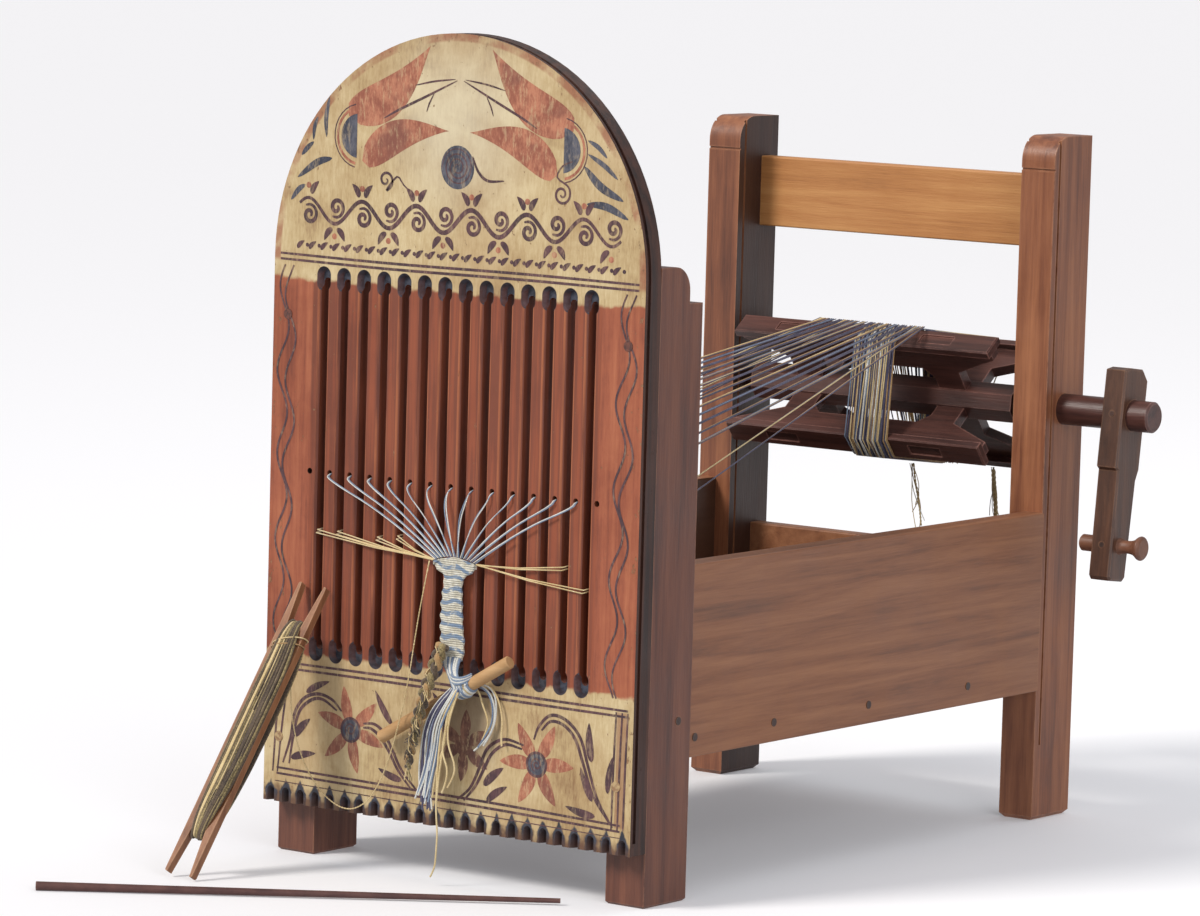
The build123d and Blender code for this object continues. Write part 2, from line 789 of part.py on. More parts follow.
# ================================================================ tape, its stick, knot and fringe
with BuildPart() as woven_tape:
    with BuildSketch(facing_front(tape_back_y)):
        with BuildLine():
            Polyline(
                (fell_x + fell_half_width + 0.5, fell_z - fell_drop),
                (17.5, 153.0),
                (12.0, 150.5),
                (12.4, 136.0),
                (14.6, 118.0),
                (13.6, 111.0),
                (0.8, 111.0),
                (0.2, 118.0),
                (0.4, 136.0),
                (1.0, 150.5),
                (-4.6, 154.5),
                (fell_x - fell_half_width - 0.5, fell_z - fell_drop),
            )
            ThreePointArc(
                (fell_x - fell_half_width - 0.5, fell_z - fell_drop),
                (fell_x, fell_z),
                (fell_x + fell_half_width + 0.5, fell_z - fell_drop),
            )
        make_face()
    extrude(amount=tape_thickness)

stick_low = Vector(at(*tape_stick_low))
stick_run = Vector(at(*tape_stick_high)) - stick_low
with BuildPart() as tape_stick:
    with BuildSketch(Plane(origin=stick_low, z_dir=stick_run)):
        Circle(tape_stick_radius)
    extrude(amount=stick_run.length)
    chamfer(tape_stick.edges(), length=0.5)

with BuildPart() as tape_knot:
    # a round knot, and a band of turns round the stick
    with Locations(at(*knot_centre)):
        Sphere(knot_radius)
    wrap_start = Vector(at(*wrap_centre)) - stick_run.normalized() * (wrap_length / 2)
    with BuildSketch(Plane(origin=wrap_start, z_dir=stick_run)):
        Circle(wrap_radius)
    extrude(amount=wrap_length)
    with BuildSketch(Plane(origin=stick_low, z_dir=stick_run)):
        Circle(tape_stick_radius + wrap_gap)
    extrude(amount=stick_run.length, mode=Mode.SUBTRACT)
    with BuildSketch(facing_front(tape_back_y)):
        with Locations((fell_x, knot_centre[2])):
            Rectangle(60, 60)
    extrude(amount=-20, mode=Mode.SUBTRACT)

with BuildPart() as tape_fringe:
    # the long brush in front of the stick, and the short one behind it
    for top, bottom in (
        (((15.0, -14.2, 98.0), (4.0, 1.6)), ((1.5, -14.2, 42.0), (7.0, 1.8))),
        (((27.0, -2.5, 98.0), (3.4, 1.0)), ((25.0, -2.5, 68.0), (5.0, 1.0))),
    ):
        for centre, radii in (top, bottom):
            with BuildSketch(Plane(origin=at(*centre), x_dir=(1, 0, 0), z_dir=(0, 0, 1))):
                Ellipse(*radii)
        loft()


# ================================================================ shuttle and pick-up stick
shuttle_along = (Vector(*shuttle_head) - Vector(*shuttle_foot)).normalized()
shuttle_across = (Vector(1, 0, 0) - shuttle_along * shuttle_along.X).normalized()
shuttle_length = (Vector(*shuttle_head) - Vector(*shuttle_foot)).length
shuttle_middle = (Vector(at(*shuttle_head)) + Vector(at(*shuttle_foot))) * 0.5
shuttle_plane = Plane(
    origin=shuttle_middle,
    x_dir=shuttle_across,
    z_dir=shuttle_across.cross(shuttle_along),
)


def shuttle_body():
    """A flat stick with a deep notch in each end, which widens outwards and leaves pointed prongs."""
    with BuildPart() as body:
        with BuildSketch(shuttle_plane) as flat:
            Rectangle(shuttle_width, shuttle_length)
            for end in (-1, 1):
                with BuildLine():
                    Polyline(
                        (-shuttle_notch_width / 2, end * (shuttle_length / 2 - shuttle_notch)),
                        (-shuttle_notch_mouth / 2, end * shuttle_length / 2),
                        (shuttle_notch_mouth / 2, end * shuttle_length / 2),
                        (shuttle_notch_width / 2, end * (shuttle_length / 2 - shuttle_notch)),
                        close=True,
                    )
                make_face(mode=Mode.SUBTRACT)
            fillet(flat.vertices().group_by(Axis.X)[0], radius=1.0)
            fillet(flat.vertices().group_by(Axis.X)[-1], radius=1.0)
        extrude(amount=shuttle_thickness / 2, both=True)
    return body


shuttle = shuttle_body()

with BuildPart() as shuttle_yarn:
    # turns of yarn that run lengthwise round the shuttle, through both notches
    with BuildSketch(Plane(shuttle_middle, x_dir=shuttle_along, z_dir=shuttle_across)):
        Ellipse(yarn_length / 2, yarn_half_thickness)
    extrude(amount=yarn_width / 2, both=True)
    with BuildSketch(Plane(shuttle_middle, x_dir=shuttle_along, z_dir=shuttle_across)):
        web = shuttle_length - 2 * shuttle_notch + 2 * yarn_gap
        Rectangle(web, shuttle_thickness + 2 * yarn_gap)
    extrude(amount=yarn_width, both=True, mode=Mode.SUBTRACT)

pickup_run = Vector(at(*stick_right)) - Vector(at(*stick_left))
with BuildPart() as pickup_stick:
    with BuildSketch(Plane(origin=at(*stick_left), z_dir=pickup_run)):
        Circle(stick_radius)
    with BuildSketch(Plane(origin=at(*stick_right), z_dir=pickup_run)):
        Circle(stick_tip_radius)
    loft()

pieces = {
    "heddle_board": heddle_board,
    "front_post_left": front_post_left,
    "front_post_right": front_post_right,
    "side_rail_left": side_rail_left,
    "side_rail_right": side_rail_right,
    "rear_post_left": rear_post_left,
    "rear_post_right": rear_post_right,
    "top_rail": top_rail,
    "lower_back_rail": lower_back_rail,
    "bottom_board": bottom_board,
    "board_pegs": board_pegs,
    "rail_pegs": rail_pegs,
    "tenon_pegs": tenon_pegs,
    "reel_axle": reel_axle,
    "crank_arm": crank_arm,
    "crank_pin": crank_pin,
    "crank_handle": crank_handle,
    "handle_pin": handle_pin,
    "warp_winding": warp_winding,
    "heddle_threads": heddle_threads,
    "slot_threads": slot_threads,
    "warp_tail": warp_tail,
    "warp_bunch": warp_bunch,
    "woven_tape": woven_tape,
    "tape_stick": tape_stick,
    "tape_knot": tape_knot,
    "tape_fringe": tape_fringe,
    "braided_strand": braided_strand,
    "weft_thread": weft_thread,
    "shuttle": shuttle,
    "shuttle_yarn": shuttle_yarn,
    "pickup_stick": pickup_stick,
}
for number, (vane, slat) in enumerate(zip(reel_vanes, reel_slats), start=1):
    pieces[f"reel_vane_{number}"] = vane
    pieces[f"reel_slat_{number}"] = slat

for name, piece in pieces.items():
    piece.part.label = name
    export_step(piece.part, f"parts/{name}.step")
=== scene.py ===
"""The looks of a small box tape loom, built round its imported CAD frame. Lengths in the tables are millimetres
in the loom's own axes: x from its middle plane, y back from the board's front face, z up from the floor."""
import random
from math import copysign, cos, pi, radians, sin, sqrt

import bmesh
import bpy
from mathutils import Matrix, Vector


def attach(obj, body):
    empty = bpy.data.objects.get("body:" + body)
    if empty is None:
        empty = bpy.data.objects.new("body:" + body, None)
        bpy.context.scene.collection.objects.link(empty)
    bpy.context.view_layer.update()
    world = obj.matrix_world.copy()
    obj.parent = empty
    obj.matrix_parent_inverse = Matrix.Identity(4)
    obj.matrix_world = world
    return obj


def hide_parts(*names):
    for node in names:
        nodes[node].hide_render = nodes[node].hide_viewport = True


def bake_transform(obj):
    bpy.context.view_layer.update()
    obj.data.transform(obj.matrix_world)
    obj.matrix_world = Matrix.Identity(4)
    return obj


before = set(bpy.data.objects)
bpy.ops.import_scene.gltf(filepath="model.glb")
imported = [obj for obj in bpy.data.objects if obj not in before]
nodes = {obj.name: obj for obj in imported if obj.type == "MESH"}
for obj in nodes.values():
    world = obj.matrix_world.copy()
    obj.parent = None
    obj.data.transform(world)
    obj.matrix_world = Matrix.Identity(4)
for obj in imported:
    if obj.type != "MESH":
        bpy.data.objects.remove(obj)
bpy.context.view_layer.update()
scene = bpy.context.scene
rng = random.Random(7)

# the loom's middle plane and its board's front face, in the row frame
MIDDLE_X, FRONT_Y = -21.5, -129.4
# the board: half its width, its arch's spring, the slots' pitch, half the row of bars, the holes' height
BOARD_HALF, ARCH_SPRING, PITCH, BARS_HALF, HOLE_Z = 114.3, 300.5, 12.7, 90, 194.7
# the reel: its axle, the first vane's angle, and how far out a slat's face is and half its width
AXLE_Y, AXLE_Z, REEL_PHASE, SLAT_FACE, SLAT_HALF = 379.2, 217.5, 52, 42, 6


def at(x, y, z):
    """A point in the row frame, in metres, from the loom's millimetres."""
    return Vector(((x + MIDDLE_X) / 1000, (y + FRONT_Y) / 1000, z / 1000))


# ---- camera
CAMERA_AT = at(1744.06, -2219.06, 522.44)
YAW, PITCH_DOWN, ROLL = radians(36.7), radians(6.3), radians(1.6)

camera = bpy.data.objects.new("camera", bpy.data.cameras.new("camera"))
camera.data.lens = 175.3
camera.data.sensor_width = 36
camera.data.clip_start, camera.data.clip_end = 0.1, 40
ahead_x, ahead_y = -sin(YAW) * cos(PITCH_DOWN), cos(YAW) * cos(PITCH_DOWN)
forward = Vector((ahead_x, ahead_y, -sin(PITCH_DOWN)))
level = Vector((cos(YAW), sin(YAW), 0))
upright = level.cross(forward)
right = cos(ROLL) * level + sin(ROLL) * upright
top = cos(ROLL) * upright - sin(ROLL) * level
camera.matrix_world = Matrix.Translation(CAMERA_AT) @ Matrix((right, top, -forward)).transposed().to_4x4()
scene.collection.objects.link(camera)
scene.camera = camera
scene.view_settings.view_transform = "Standard"


# ---- making pieces
def linked(name, data, look, body):
    """A new object with one material, on a CAD body, with its material slot."""
    piece = bpy.data.objects.new(name, data)
    scene.collection.objects.link(piece)
    data.materials.append(look)
    if body:
        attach(piece, body)
    return piece


def mesh_from(name, shape):
    data = bpy.data.meshes.new(name)
    shape.to_mesh(data)
    shape.free()
    return data


def curve_from(name, routes, radius, straight=False, cyclic=False, sides=2, fineness=5):
    """A bevelled curve through or near each route. A route is a list of points in metres."""
    data = bpy.data.curves.new(name, "CURVE")
    data.dimensions = "3D"
    data.bevel_depth = radius
    data.bevel_resolution = sides
    data.resolution_u = fineness
    data.use_fill_caps = True
    for route in routes:
        spline = data.splines.new("POLY" if straight else "NURBS")
        spline.points.add(len(route) - 1)
        for point, place in zip(spline.points, route):
            point.co = (*place, 1)
        spline.use_cyclic_u = cyclic
        if not straight:
            spline.order_u = 3
            spline.use_endpoint_u = not cyclic
    return data


def line_of(route, fineness=8):
    """The smooth line that a NURBS route makes, as a list of points in metres."""
    data = curve_from("line", [route], 0, fineness=fineness)
    data.use_fill_caps = False
    holder = bpy.data.objects.new("line", data)
    scene.collection.objects.link(holder)
    bpy.context.view_layer.update()
    made = bpy.data.meshes.new_from_object(holder)
    places = [vertex.co.copy() for vertex in made.vertices]
    bpy.data.objects.remove(holder)
    bpy.data.curves.remove(data)
    bpy.data.meshes.remove(made)
    return places


def frames_along(places):
    """Each point of a line with two directions square to it, carried along without twisting."""
    side = None
    found = []
    for index, place in enumerate(places):
        ahead = (places[min(index + 1, len(places) - 1)] - places[max(index - 1, 0)]).normalized()
        if side is None:
            side = ahead.cross(Vector((0.3, 0.9, 0.1))).normalized()
        side = (side - ahead * side.dot(ahead)).normalized()
        found.append((place, side, ahead.cross(side)))
    return found


def add_tube(shape, places, radius, corners=8):
    """Adds a closed round tube along places to a bmesh. radius may be a number or a list."""
    rings = []
    for index, (place, side, over) in enumerate(frames_along(places)):
        size = radius[index] if isinstance(radius, list) else radius
        ring = []
        for corner in range(corners):
            angle = 2 * pi * corner / corners
            ring.append(shape.verts.new(place + size * (cos(angle) * side + sin(angle) * over)))
        rings.append(ring)
    for before, after in zip(rings, rings[1:]):
        for corner in range(corners):
            beside = (corner + 1) % corners
            shape.faces.new((before[corner], before[beside], after[beside], after[corner])).smooth = True
    shape.faces.new(rings[0][::-1])
    shape.faces.new(rings[-1])


# ---- material nodes
class Look:
    """One material, with short calls for the nodes that it needs."""

    def __init__(self, name, roughness=0.6):
        self.material = bpy.data.materials.new(name)
        self.material.use_nodes = True
        self.tree = self.material.node_tree
        self.shader = self.tree.nodes["Principled BSDF"]
        self.shader.inputs["Roughness"].default_value = roughness
        self.place = self.node("ShaderNodeTexCoord").outputs["Object"]

    def node(self, kind, **settings):
        made = self.tree.nodes.new(kind)
        for name, value in settings.items():
            setattr(made, name, value)
        return made

    def put(self, socket, value):
        if isinstance(value, bpy.types.NodeSocket):
            self.tree.links.new(value, socket)
        else:
            socket.default_value = value

    def math(self, operation, *values, clamp=False):
        made = self.node("ShaderNodeMath", operation=operation, use_clamp=clamp)
        for socket, value in zip(made.inputs, values):
            self.put(socket, value)
        return made.outputs[0]

    def add(self, first, *rest):
        for value in rest:
            first = self.math("ADD", first, value)
        return first

    def less(self, a, b):
        return self.math("SUBTRACT", a, b)

    def times(self, a, b):
        return self.math("MULTIPLY", a, b)

    def biggest(self, first, *rest):
        for value in rest:
            first = self.math("MAXIMUM", first, value)
        return first

    def step(self, value, low, high):
        """0 at low and 1 at high, with a smooth rise between."""
        made = self.node("ShaderNodeMapRange", interpolation_type="SMOOTHSTEP")
        for socket, number in zip(made.inputs, (value, low, high, 0, 1)):
            self.put(socket, number)
        return made.outputs[0]

    def band(self, value, low, high, soft):
        """1 between low and high, and 0 outside."""
        rise = self.step(value, low - soft, low + soft)
        fall = self.step(value, high - soft, high + soft)
        return self.less(rise, fall)

    def noise(self, scale, detail=4, stretch=(1, 1, 1), roughness=0.55, distortion=0, shift=0):
        where = self.node("ShaderNodeMapping")
        self.put(where.inputs["Vector"], self.place)
        where.inputs["Scale"].default_value = stretch
        where.inputs["Location"].default_value = (shift, shift * 1.7, shift * 0.6)
        made = self.node("ShaderNodeTexNoise")
        self.put(made.inputs["Vector"], where.outputs[0])
        settings = {"Scale": scale, "Detail": detail, "Roughness": roughness, "Distortion": distortion}
        for name, value in settings.items():
            made.inputs[name].default_value = value
        return made.outputs["Fac"]

    def ramp(self, factor, *stops):
        """A colour ramp. Each stop is (position, colour)."""
        made = self.node("ShaderNodeValToRGB")
        self.put(made.inputs["Fac"], factor)
        band = made.color_ramp.elements
        while len(band) < len(stops):
            band.new(0.5)
        for element, (position, colour) in zip(band, stops):
            element.position = position
            element.color = (*colour, 1)
        return made.outputs["Color"]

    def mix(self, factor, below, above, blend="MIX"):
        made = self.node("ShaderNodeMix", data_type="RGBA", blend_type=blend)
        self.put(made.inputs[0], factor)
        for socket, value in ((made.inputs[6], below), (made.inputs[7], above)):
            self.put(socket, (*value, 1) if isinstance(value, tuple) else value)
        return made.outputs[2]

    def distance(self, a, b):
        return self.math("SQRT", self.add(self.times(a, a), self.times(b, b)))

    def zigzag(self, value, shift, top):
        """Rises from 0 to top and falls back again and again, as value + shift grows."""
        return self.math("PINGPONG", self.add(value, shift), top)

    def split(self, vector):
        parts = self.node("ShaderNodeSeparateXYZ")
        self.put(parts.inputs[0], vector)
        return parts.outputs

    def normal(self):
        return self.node("ShaderNodeNewGeometry").outputs["Normal"]

    def corner_wear(self):
        """1 on an outer corner and 0 on a flat, from the bevelled normal."""
        round_normal = self.node("ShaderNodeBevel", samples=6)
        round_normal.inputs["Radius"].default_value = 0.0016
        dot = self.node("ShaderNodeVectorMath", operation="DOT_PRODUCT")
        self.put(dot.inputs[0], round_normal.outputs[0])
        self.put(dot.inputs[1], self.normal())
        return self.step(dot.outputs["Value"], 0.985, 0.86)

    def axes(self):
        """The loom's x, y and z of the shaded point, in millimetres."""
        x, y, z = self.split(self.place)
        return (
            self.math("MULTIPLY_ADD", x, 1000, -MIDDLE_X),
            self.math("MULTIPLY_ADD", y, 1000, -FRONT_Y),
            self.times(z, 1000),
        )

    def finish(self, colour, height=None, depth=0.0002, roughness=None):
        self.put(self.shader.inputs["Base Color"], colour)
        if height is not None:
            bump = self.node("ShaderNodeBump")
            bump.inputs["Strength"].default_value = 1
            bump.inputs["Distance"].default_value = depth
            self.put(bump.inputs["Height"], height)
            self.put(self.shader.inputs["Normal"], bump.outputs[0])
        if roughness is not None:
            self.put(self.shader.inputs["Roughness"], roughness)
        return self.material


GRAIN = {"x": (0.05, 1, 1), "y": (1, 0.05, 1), "z": (1, 1, 0.05)}


def wood(name, along, dark, middle, light, worn, shine=0.45, wear=0.8, figure=110, shift=0, grime_and_shade=0):
    """Sawn wood: streaks, pores, stains, rubbed corners. Painted shade darkens the faces that look into the
    loom.
    """
    look = Look(name)
    times = look.times
    streaks = look.noise(figure, 6, GRAIN[along], 0.6, 0.5, shift)
    pores = look.noise(1100, 3, GRAIN[along], 0.7, 0, shift)
    stain = look.noise(16, 4, (1, 1, 1), 0.6, 0.3, shift + 3)
    tone = look.add(times(streaks, 0.62), times(pores, 0.16), times(stain, 0.22))
    colour = look.ramp(tone, (0.3, dark), (0.46, middle), (0.66, light))
    rubbed = times(look.corner_wear(), look.step(look.noise(90, 5, (1, 1, 1), 0.7), 0.3, 0.62))
    colour = look.mix(times(rubbed, wear), colour, worn)
    if grime_and_shade:
        # painted shade on the faces that look into the loom
        inward_shade = look.step(times(look.axes()[0], look.split(look.normal())[0]), -10, -60)
        colour = look.mix(times(inward_shade, grime_and_shade), colour, (0.25 * dark[0], 0.25 * dark[1], 0.3 * dark[2]))
    height = look.add(times(streaks, 0.6), times(pores, 0.7))
    rough = look.math("MULTIPLY_ADD", stain, 0.35, shine - 0.15)
    return look.finish(colour, height, 0.00022, rough)


def dress(look, *names):
    """Gives a material to CAD nodes."""
    for name in names:
        nodes[name].data.materials.clear()
        nodes[name].data.materials.append(look)


# ---- wood
dress(wood(
    "front_post_wood", "z", (0.034, 0.011, 0.008), (0.11, 0.035, 0.02), (0.205, 0.072, 0.038),
    (0.3, 0.13, 0.07), figure=150,
), "front_post_left", "front_post_right")
dress(wood(
    "rail_wood", "y", (0.1, 0.036, 0.017), (0.225, 0.084, 0.036), (0.34, 0.145, 0.066),
    (0.36, 0.17, 0.08), figure=130, shift=2, grime_and_shade=0.85,
), "side_rail_left", "side_rail_right", "lower_back_rail")
dress(wood(
    "bottom_wood", "y", (0.016, 0.007, 0.005), (0.04, 0.016, 0.009), (0.08, 0.034, 0.017),
    (0.15, 0.07, 0.04), shift=4,
), "bottom_board")
dress(wood(
    "rear_post_wood", "z", (0.055, 0.016, 0.009), (0.2, 0.066, 0.029), (0.37, 0.145, 0.064),
    (0.4, 0.18, 0.09), figure=140, shift=6, grime_and_shade=0.9,
), "rear_post_left", "rear_post_right")
dress(wood(
    "honey_wood", "x", (0.24, 0.09, 0.025), (0.44, 0.185, 0.056), (0.58, 0.285, 0.1),
    (0.6, 0.33, 0.14), figure=130, shift=8,
), "top_rail")
dress(wood(
    "reel_wood", "x", (0.012, 0.005, 0.005), (0.052, 0.018, 0.014), (0.12, 0.044, 0.033),
    (0.32, 0.15, 0.12), 0.38, figure=130, shift=10,
), "reel_axle", *(f"reel_{part}_{number}" for part in ("vane", "slat") for number in (1, 2, 3, 4)))
dress(wood(
    "crank_wood", "z", (0.02, 0.008, 0.005), (0.066, 0.026, 0.014), (0.14, 0.058, 0.029),
    (0.26, 0.13, 0.07), figure=130, shift=12,
), "crank_arm")
dress(wood(
    "handle_wood", "x", (0.05, 0.018, 0.01), (0.125, 0.046, 0.025), (0.22, 0.092, 0.05),
    (0.34, 0.17, 0.1), shift=14,
), "crank_handle")
dress(wood(
    "stick_wood", "x", (0.3, 0.155, 0.06), (0.44, 0.25, 0.105), (0.56, 0.345, 0.165),
    (0.6, 0.4, 0.21), 0.6, 0.3, shift=16,
), "tape_stick")
dress(wood(
    "shuttle_wood", "z", (0.115, 0.042, 0.018), (0.23, 0.092, 0.04), (0.35, 0.16, 0.075),
    (0.46, 0.25, 0.13), 0.5, shift=18,
), "shuttle")
dress(wood(
    "dark_stick_wood", "x", (0.03, 0.01, 0.01), (0.072, 0.026, 0.023), (0.13, 0.054, 0.044),
    (0.2, 0.1, 0.08), 0.5, shift=20,
), "pickup_stick")
dress(wood(
    "peg_wood", "x", (0.012, 0.005, 0.004), (0.03, 0.012, 0.008), (0.065, 0.026, 0.016),
    (0.11, 0.05, 0.03), shift=22,
), "crank_pin", "handle_pin", "rail_pegs", "tenon_pegs")


def board_peg_look():
    """Pegs that the worn paint runs over: dark in the orange ground, cream in the lower panel."""
    look = Look("board_peg_wood", 0.6)
    grain = look.step(look.noise(500, 4), 0.35, 0.65)
    dark = look.mix(grain, (0.06, 0.022, 0.018), (0.15, 0.05, 0.032))
    cream = look.mix(grain, (0.27, 0.15, 0.075), (0.47, 0.33, 0.17))
    in_panel = look.step(look.axes()[2], 110, 100)
    return look.finish(look.mix(in_panel, dark, cream), grain, 0.0001)


# ---- the painted board
def board_look():
    """Cream panels and an orange-red ground in worn paint, over dark wood in the slots and on the rim."""
    look = Look("painted_board", 0.62)
    step, times, add, less, mix = look.step, look.times, look.add, look.less, look.mix
    noise = look.noise
    x, y, z = look.axes()
    beside = look.math("ABSOLUTE", x)
    wobble = less(noise(70, 4), 0.5)
    facing = look.split(look.normal())[1]
    front = step(facing, -0.35, -0.6)
    flat = times(step(facing, -0.8, -0.95), step(y, 0.6, 0.3))

    # cream paint, aged and crackled along the grain
    fine = noise(900, 4, (1, 1, 0.18), 0.7)
    cloud = noise(26, 5, (1, 1, 1), 0.6, 0.4)
    cream = look.ramp(
        add(times(cloud, 0.65), times(fine, 0.35)),
        (0.34, (0.31, 0.19, 0.09)),
        (0.46, (0.5, 0.365, 0.185)),
        (0.6, (0.64, 0.51, 0.295)),
    )
    # orange-red ground, streaked down the bars
    streak = noise(240, 5, (1, 1, 0.04), 0.6)
    red = look.ramp(
        add(times(streak, 0.55), times(cloud, 0.3), times(fine, 0.15)),
        (0.34, (0.165, 0.038, 0.018)),
        (0.48, (0.32, 0.085, 0.038)),
        (0.64, (0.44, 0.145, 0.066)),
    )
    # bars: painted shade darkens the two sides of every slot, and their ridge is rubbed
    across = look.zigzag(x, 1000 * PITCH, PITCH / 2)
    in_bars = times(step(beside, BARS_HALF, 88.6), look.band(z, 103, 294, 3))
    bar = mix(step(across, 4, 1), (0.1, 0.022, 0.011), (0.27, 0.064, 0.024))
    bar = mix(step(streak, 0.42, 0.6), bar, (0.145, 0.033, 0.015))
    rubbed = times(step(across, 3.9, 3.3), step(across, 2.4, 3))
    bar = mix(times(rubbed, step(streak, 0.42, 0.58)), bar, (0.42, 0.13, 0.05))
    ground = mix(times(in_bars, 0.85), red, bar)

    # cream above and below the bars, palest in the middle of the arch
    pale = step(look.distance(x, less(z, 372)), 62, 12)
    cream = mix(times(pale, 0.55), cream, (0.72, 0.65, 0.48))
    wavering = add(z, times(wobble, 9))
    in_panels = look.biggest(step(wavering, 288.5, 290.5), step(wavering, 104.8, 102.6))
    colour = mix(in_panels, ground, cream)

    # the faded band round the arch, and the brown band down the lower panel's right margin
    inset = less(BOARD_HALF, look.distance(x, look.biggest(less(z, ARCH_SPRING), 0)))
    rim_band = times(step(inset, 4.4, 3.2), step(z, 297, 300))
    worn_band = step(noise(60, 5), 0.35, 0.6)
    colour = mix(times(times(rim_band, worn_band), 0.75), colour, (0.3, 0.085, 0.045))
    side_band = times(look.band(x, 104.5, 110.5, 0.4), look.band(z, 40, 96, 0.8))
    colour = mix(times(side_band, 0.55), colour, (0.25, 0.08, 0.04))

    # a painted shadow of the fringe: a dark patch on the board behind it
    off = look.distance(less(x, 17), less(z, 80))
    fringe_shadow = times(step(add(off, times(wobble, 30)), 26, 8), 0.55)
    colour = mix(fringe_shadow, colour, (0.155, 0.105, 0.095))

    # thumb-gouged scoops at the slots' ends, touched in with blue-black
    ink = mix(step(noise(300, 3), 0.35, 0.65), (0.012, 0.014, 0.026), (0.05, 0.056, 0.082))
    slot_x = look.zigzag(x, 1000 * PITCH + PITCH / 2, PITCH / 2)
    for scoop_z in (290.4, 106.6):
        tall = look.biggest(less(look.math("ABSOLUTE", less(z, scoop_z)), 1.95), 0)
        scoop = times(step(look.distance(slot_x, tall), 4.55, 4.15), step(beside, 88.6, 87.6))
        colour = mix(scoop, colour, ink)

    # a stain along the foot, and ragged gouges up from the bottom edge
    gouge_pitch = 2 * BOARD_HALF / 24
    gouge_x = look.zigzag(x, 100 * gouge_pitch + gouge_pitch / 2, gouge_pitch / 2)
    foot_stain = step(add(z, times(wobble, 22)), 35, 28.5)
    colour = mix(times(foot_stain, 0.9), colour, (0.105, 0.04, 0.022))
    ragged = less(noise(190, 4, (1, 1, 0.5), 0.65), 0.5)
    half_width = look.math("MINIMUM", times(less(38.4, z), 0.6), 3.6)
    past_edge = add(less(gouge_x, half_width), times(wobble, 2.6), times(ragged, 4.5))
    gouge_ink = mix(step(z, 28, 33), (0.06, 0.03, 0.024), ink)
    colour = mix(step(past_edge, 0.6, -0.6), colour, gouge_ink)

    # bare wood wherever the paint doesn't reach, redder inside the slots
    bare = look.ramp(streak, (0.35, (0.018, 0.006, 0.004)), (0.62, (0.072, 0.024, 0.013)))
    walls = look.ramp(streak, (0.35, (0.105, 0.026, 0.012)), (0.62, (0.25, 0.066, 0.028)))
    bare = mix(times(step(beside, BARS_HALF, 88), look.band(z, 103, 294, 1)), bare, walls)
    colour = mix(times(front, step(y, 4.2, 3.4)), bare, colour)

    # chips: small spots rubbed through to wood, most along the arch
    spots = add(noise(420, 6, (1, 1, 0.5), 0.7), times(step(inset, 9, 1), 0.06))
    chip = step(spots, 0.66, 0.7)
    colour = mix(times(chip, flat), colour, (0.3, 0.155, 0.075))
    grime_and_shade = step(noise(14, 6, (1, 1, 1), 0.65), 0.42, 0.68)
    colour = mix(times(grime_and_shade, 0.55), colour, (0.6, 0.45, 0.33), "MULTIPLY")
    height = add(times(fine, 0.5), times(streak, 0.6), times(chip, -0.8))
    return look.finish(colour, height, 0.00018, look.math("MULTIPLY_ADD", cloud, 0.35, 0.42))


dress(board_peg_look(), "board_pegs")
dress(board_look(), "heddle_board")


def paint_look(name, low, high, worn):
    """A brushed motif: uneven tone along the strokes, worn through to the cream here and there."""
    look = Look(name, 0.65)
    step, times, add, mix = look.step, look.times, look.add, look.mix
    fine = look.noise(800, 4, (1, 1, 0.3), 0.7)
    tone = add(times(fine, 0.5), times(look.noise(120, 4), 0.5))
    colour = mix(step(tone, 0.38, 0.62), low, high)
    gone = step(add(times(fine, 0.45), times(look.noise(330, 5, (1, 1, 0.22), 0.7), 0.55)), 0.5, 0.62)
    stain = step(look.noise(38, 3), 0.5, 0.64)
    colour = mix(times(stain, 0.55), colour, (low[0] * 0.6, low[1] * 0.7, low[2] * 0.9))
    colour = mix(times(gone, worn), colour, (0.5, 0.37, 0.21))
    return look.finish(colour, fine, 0.0001)


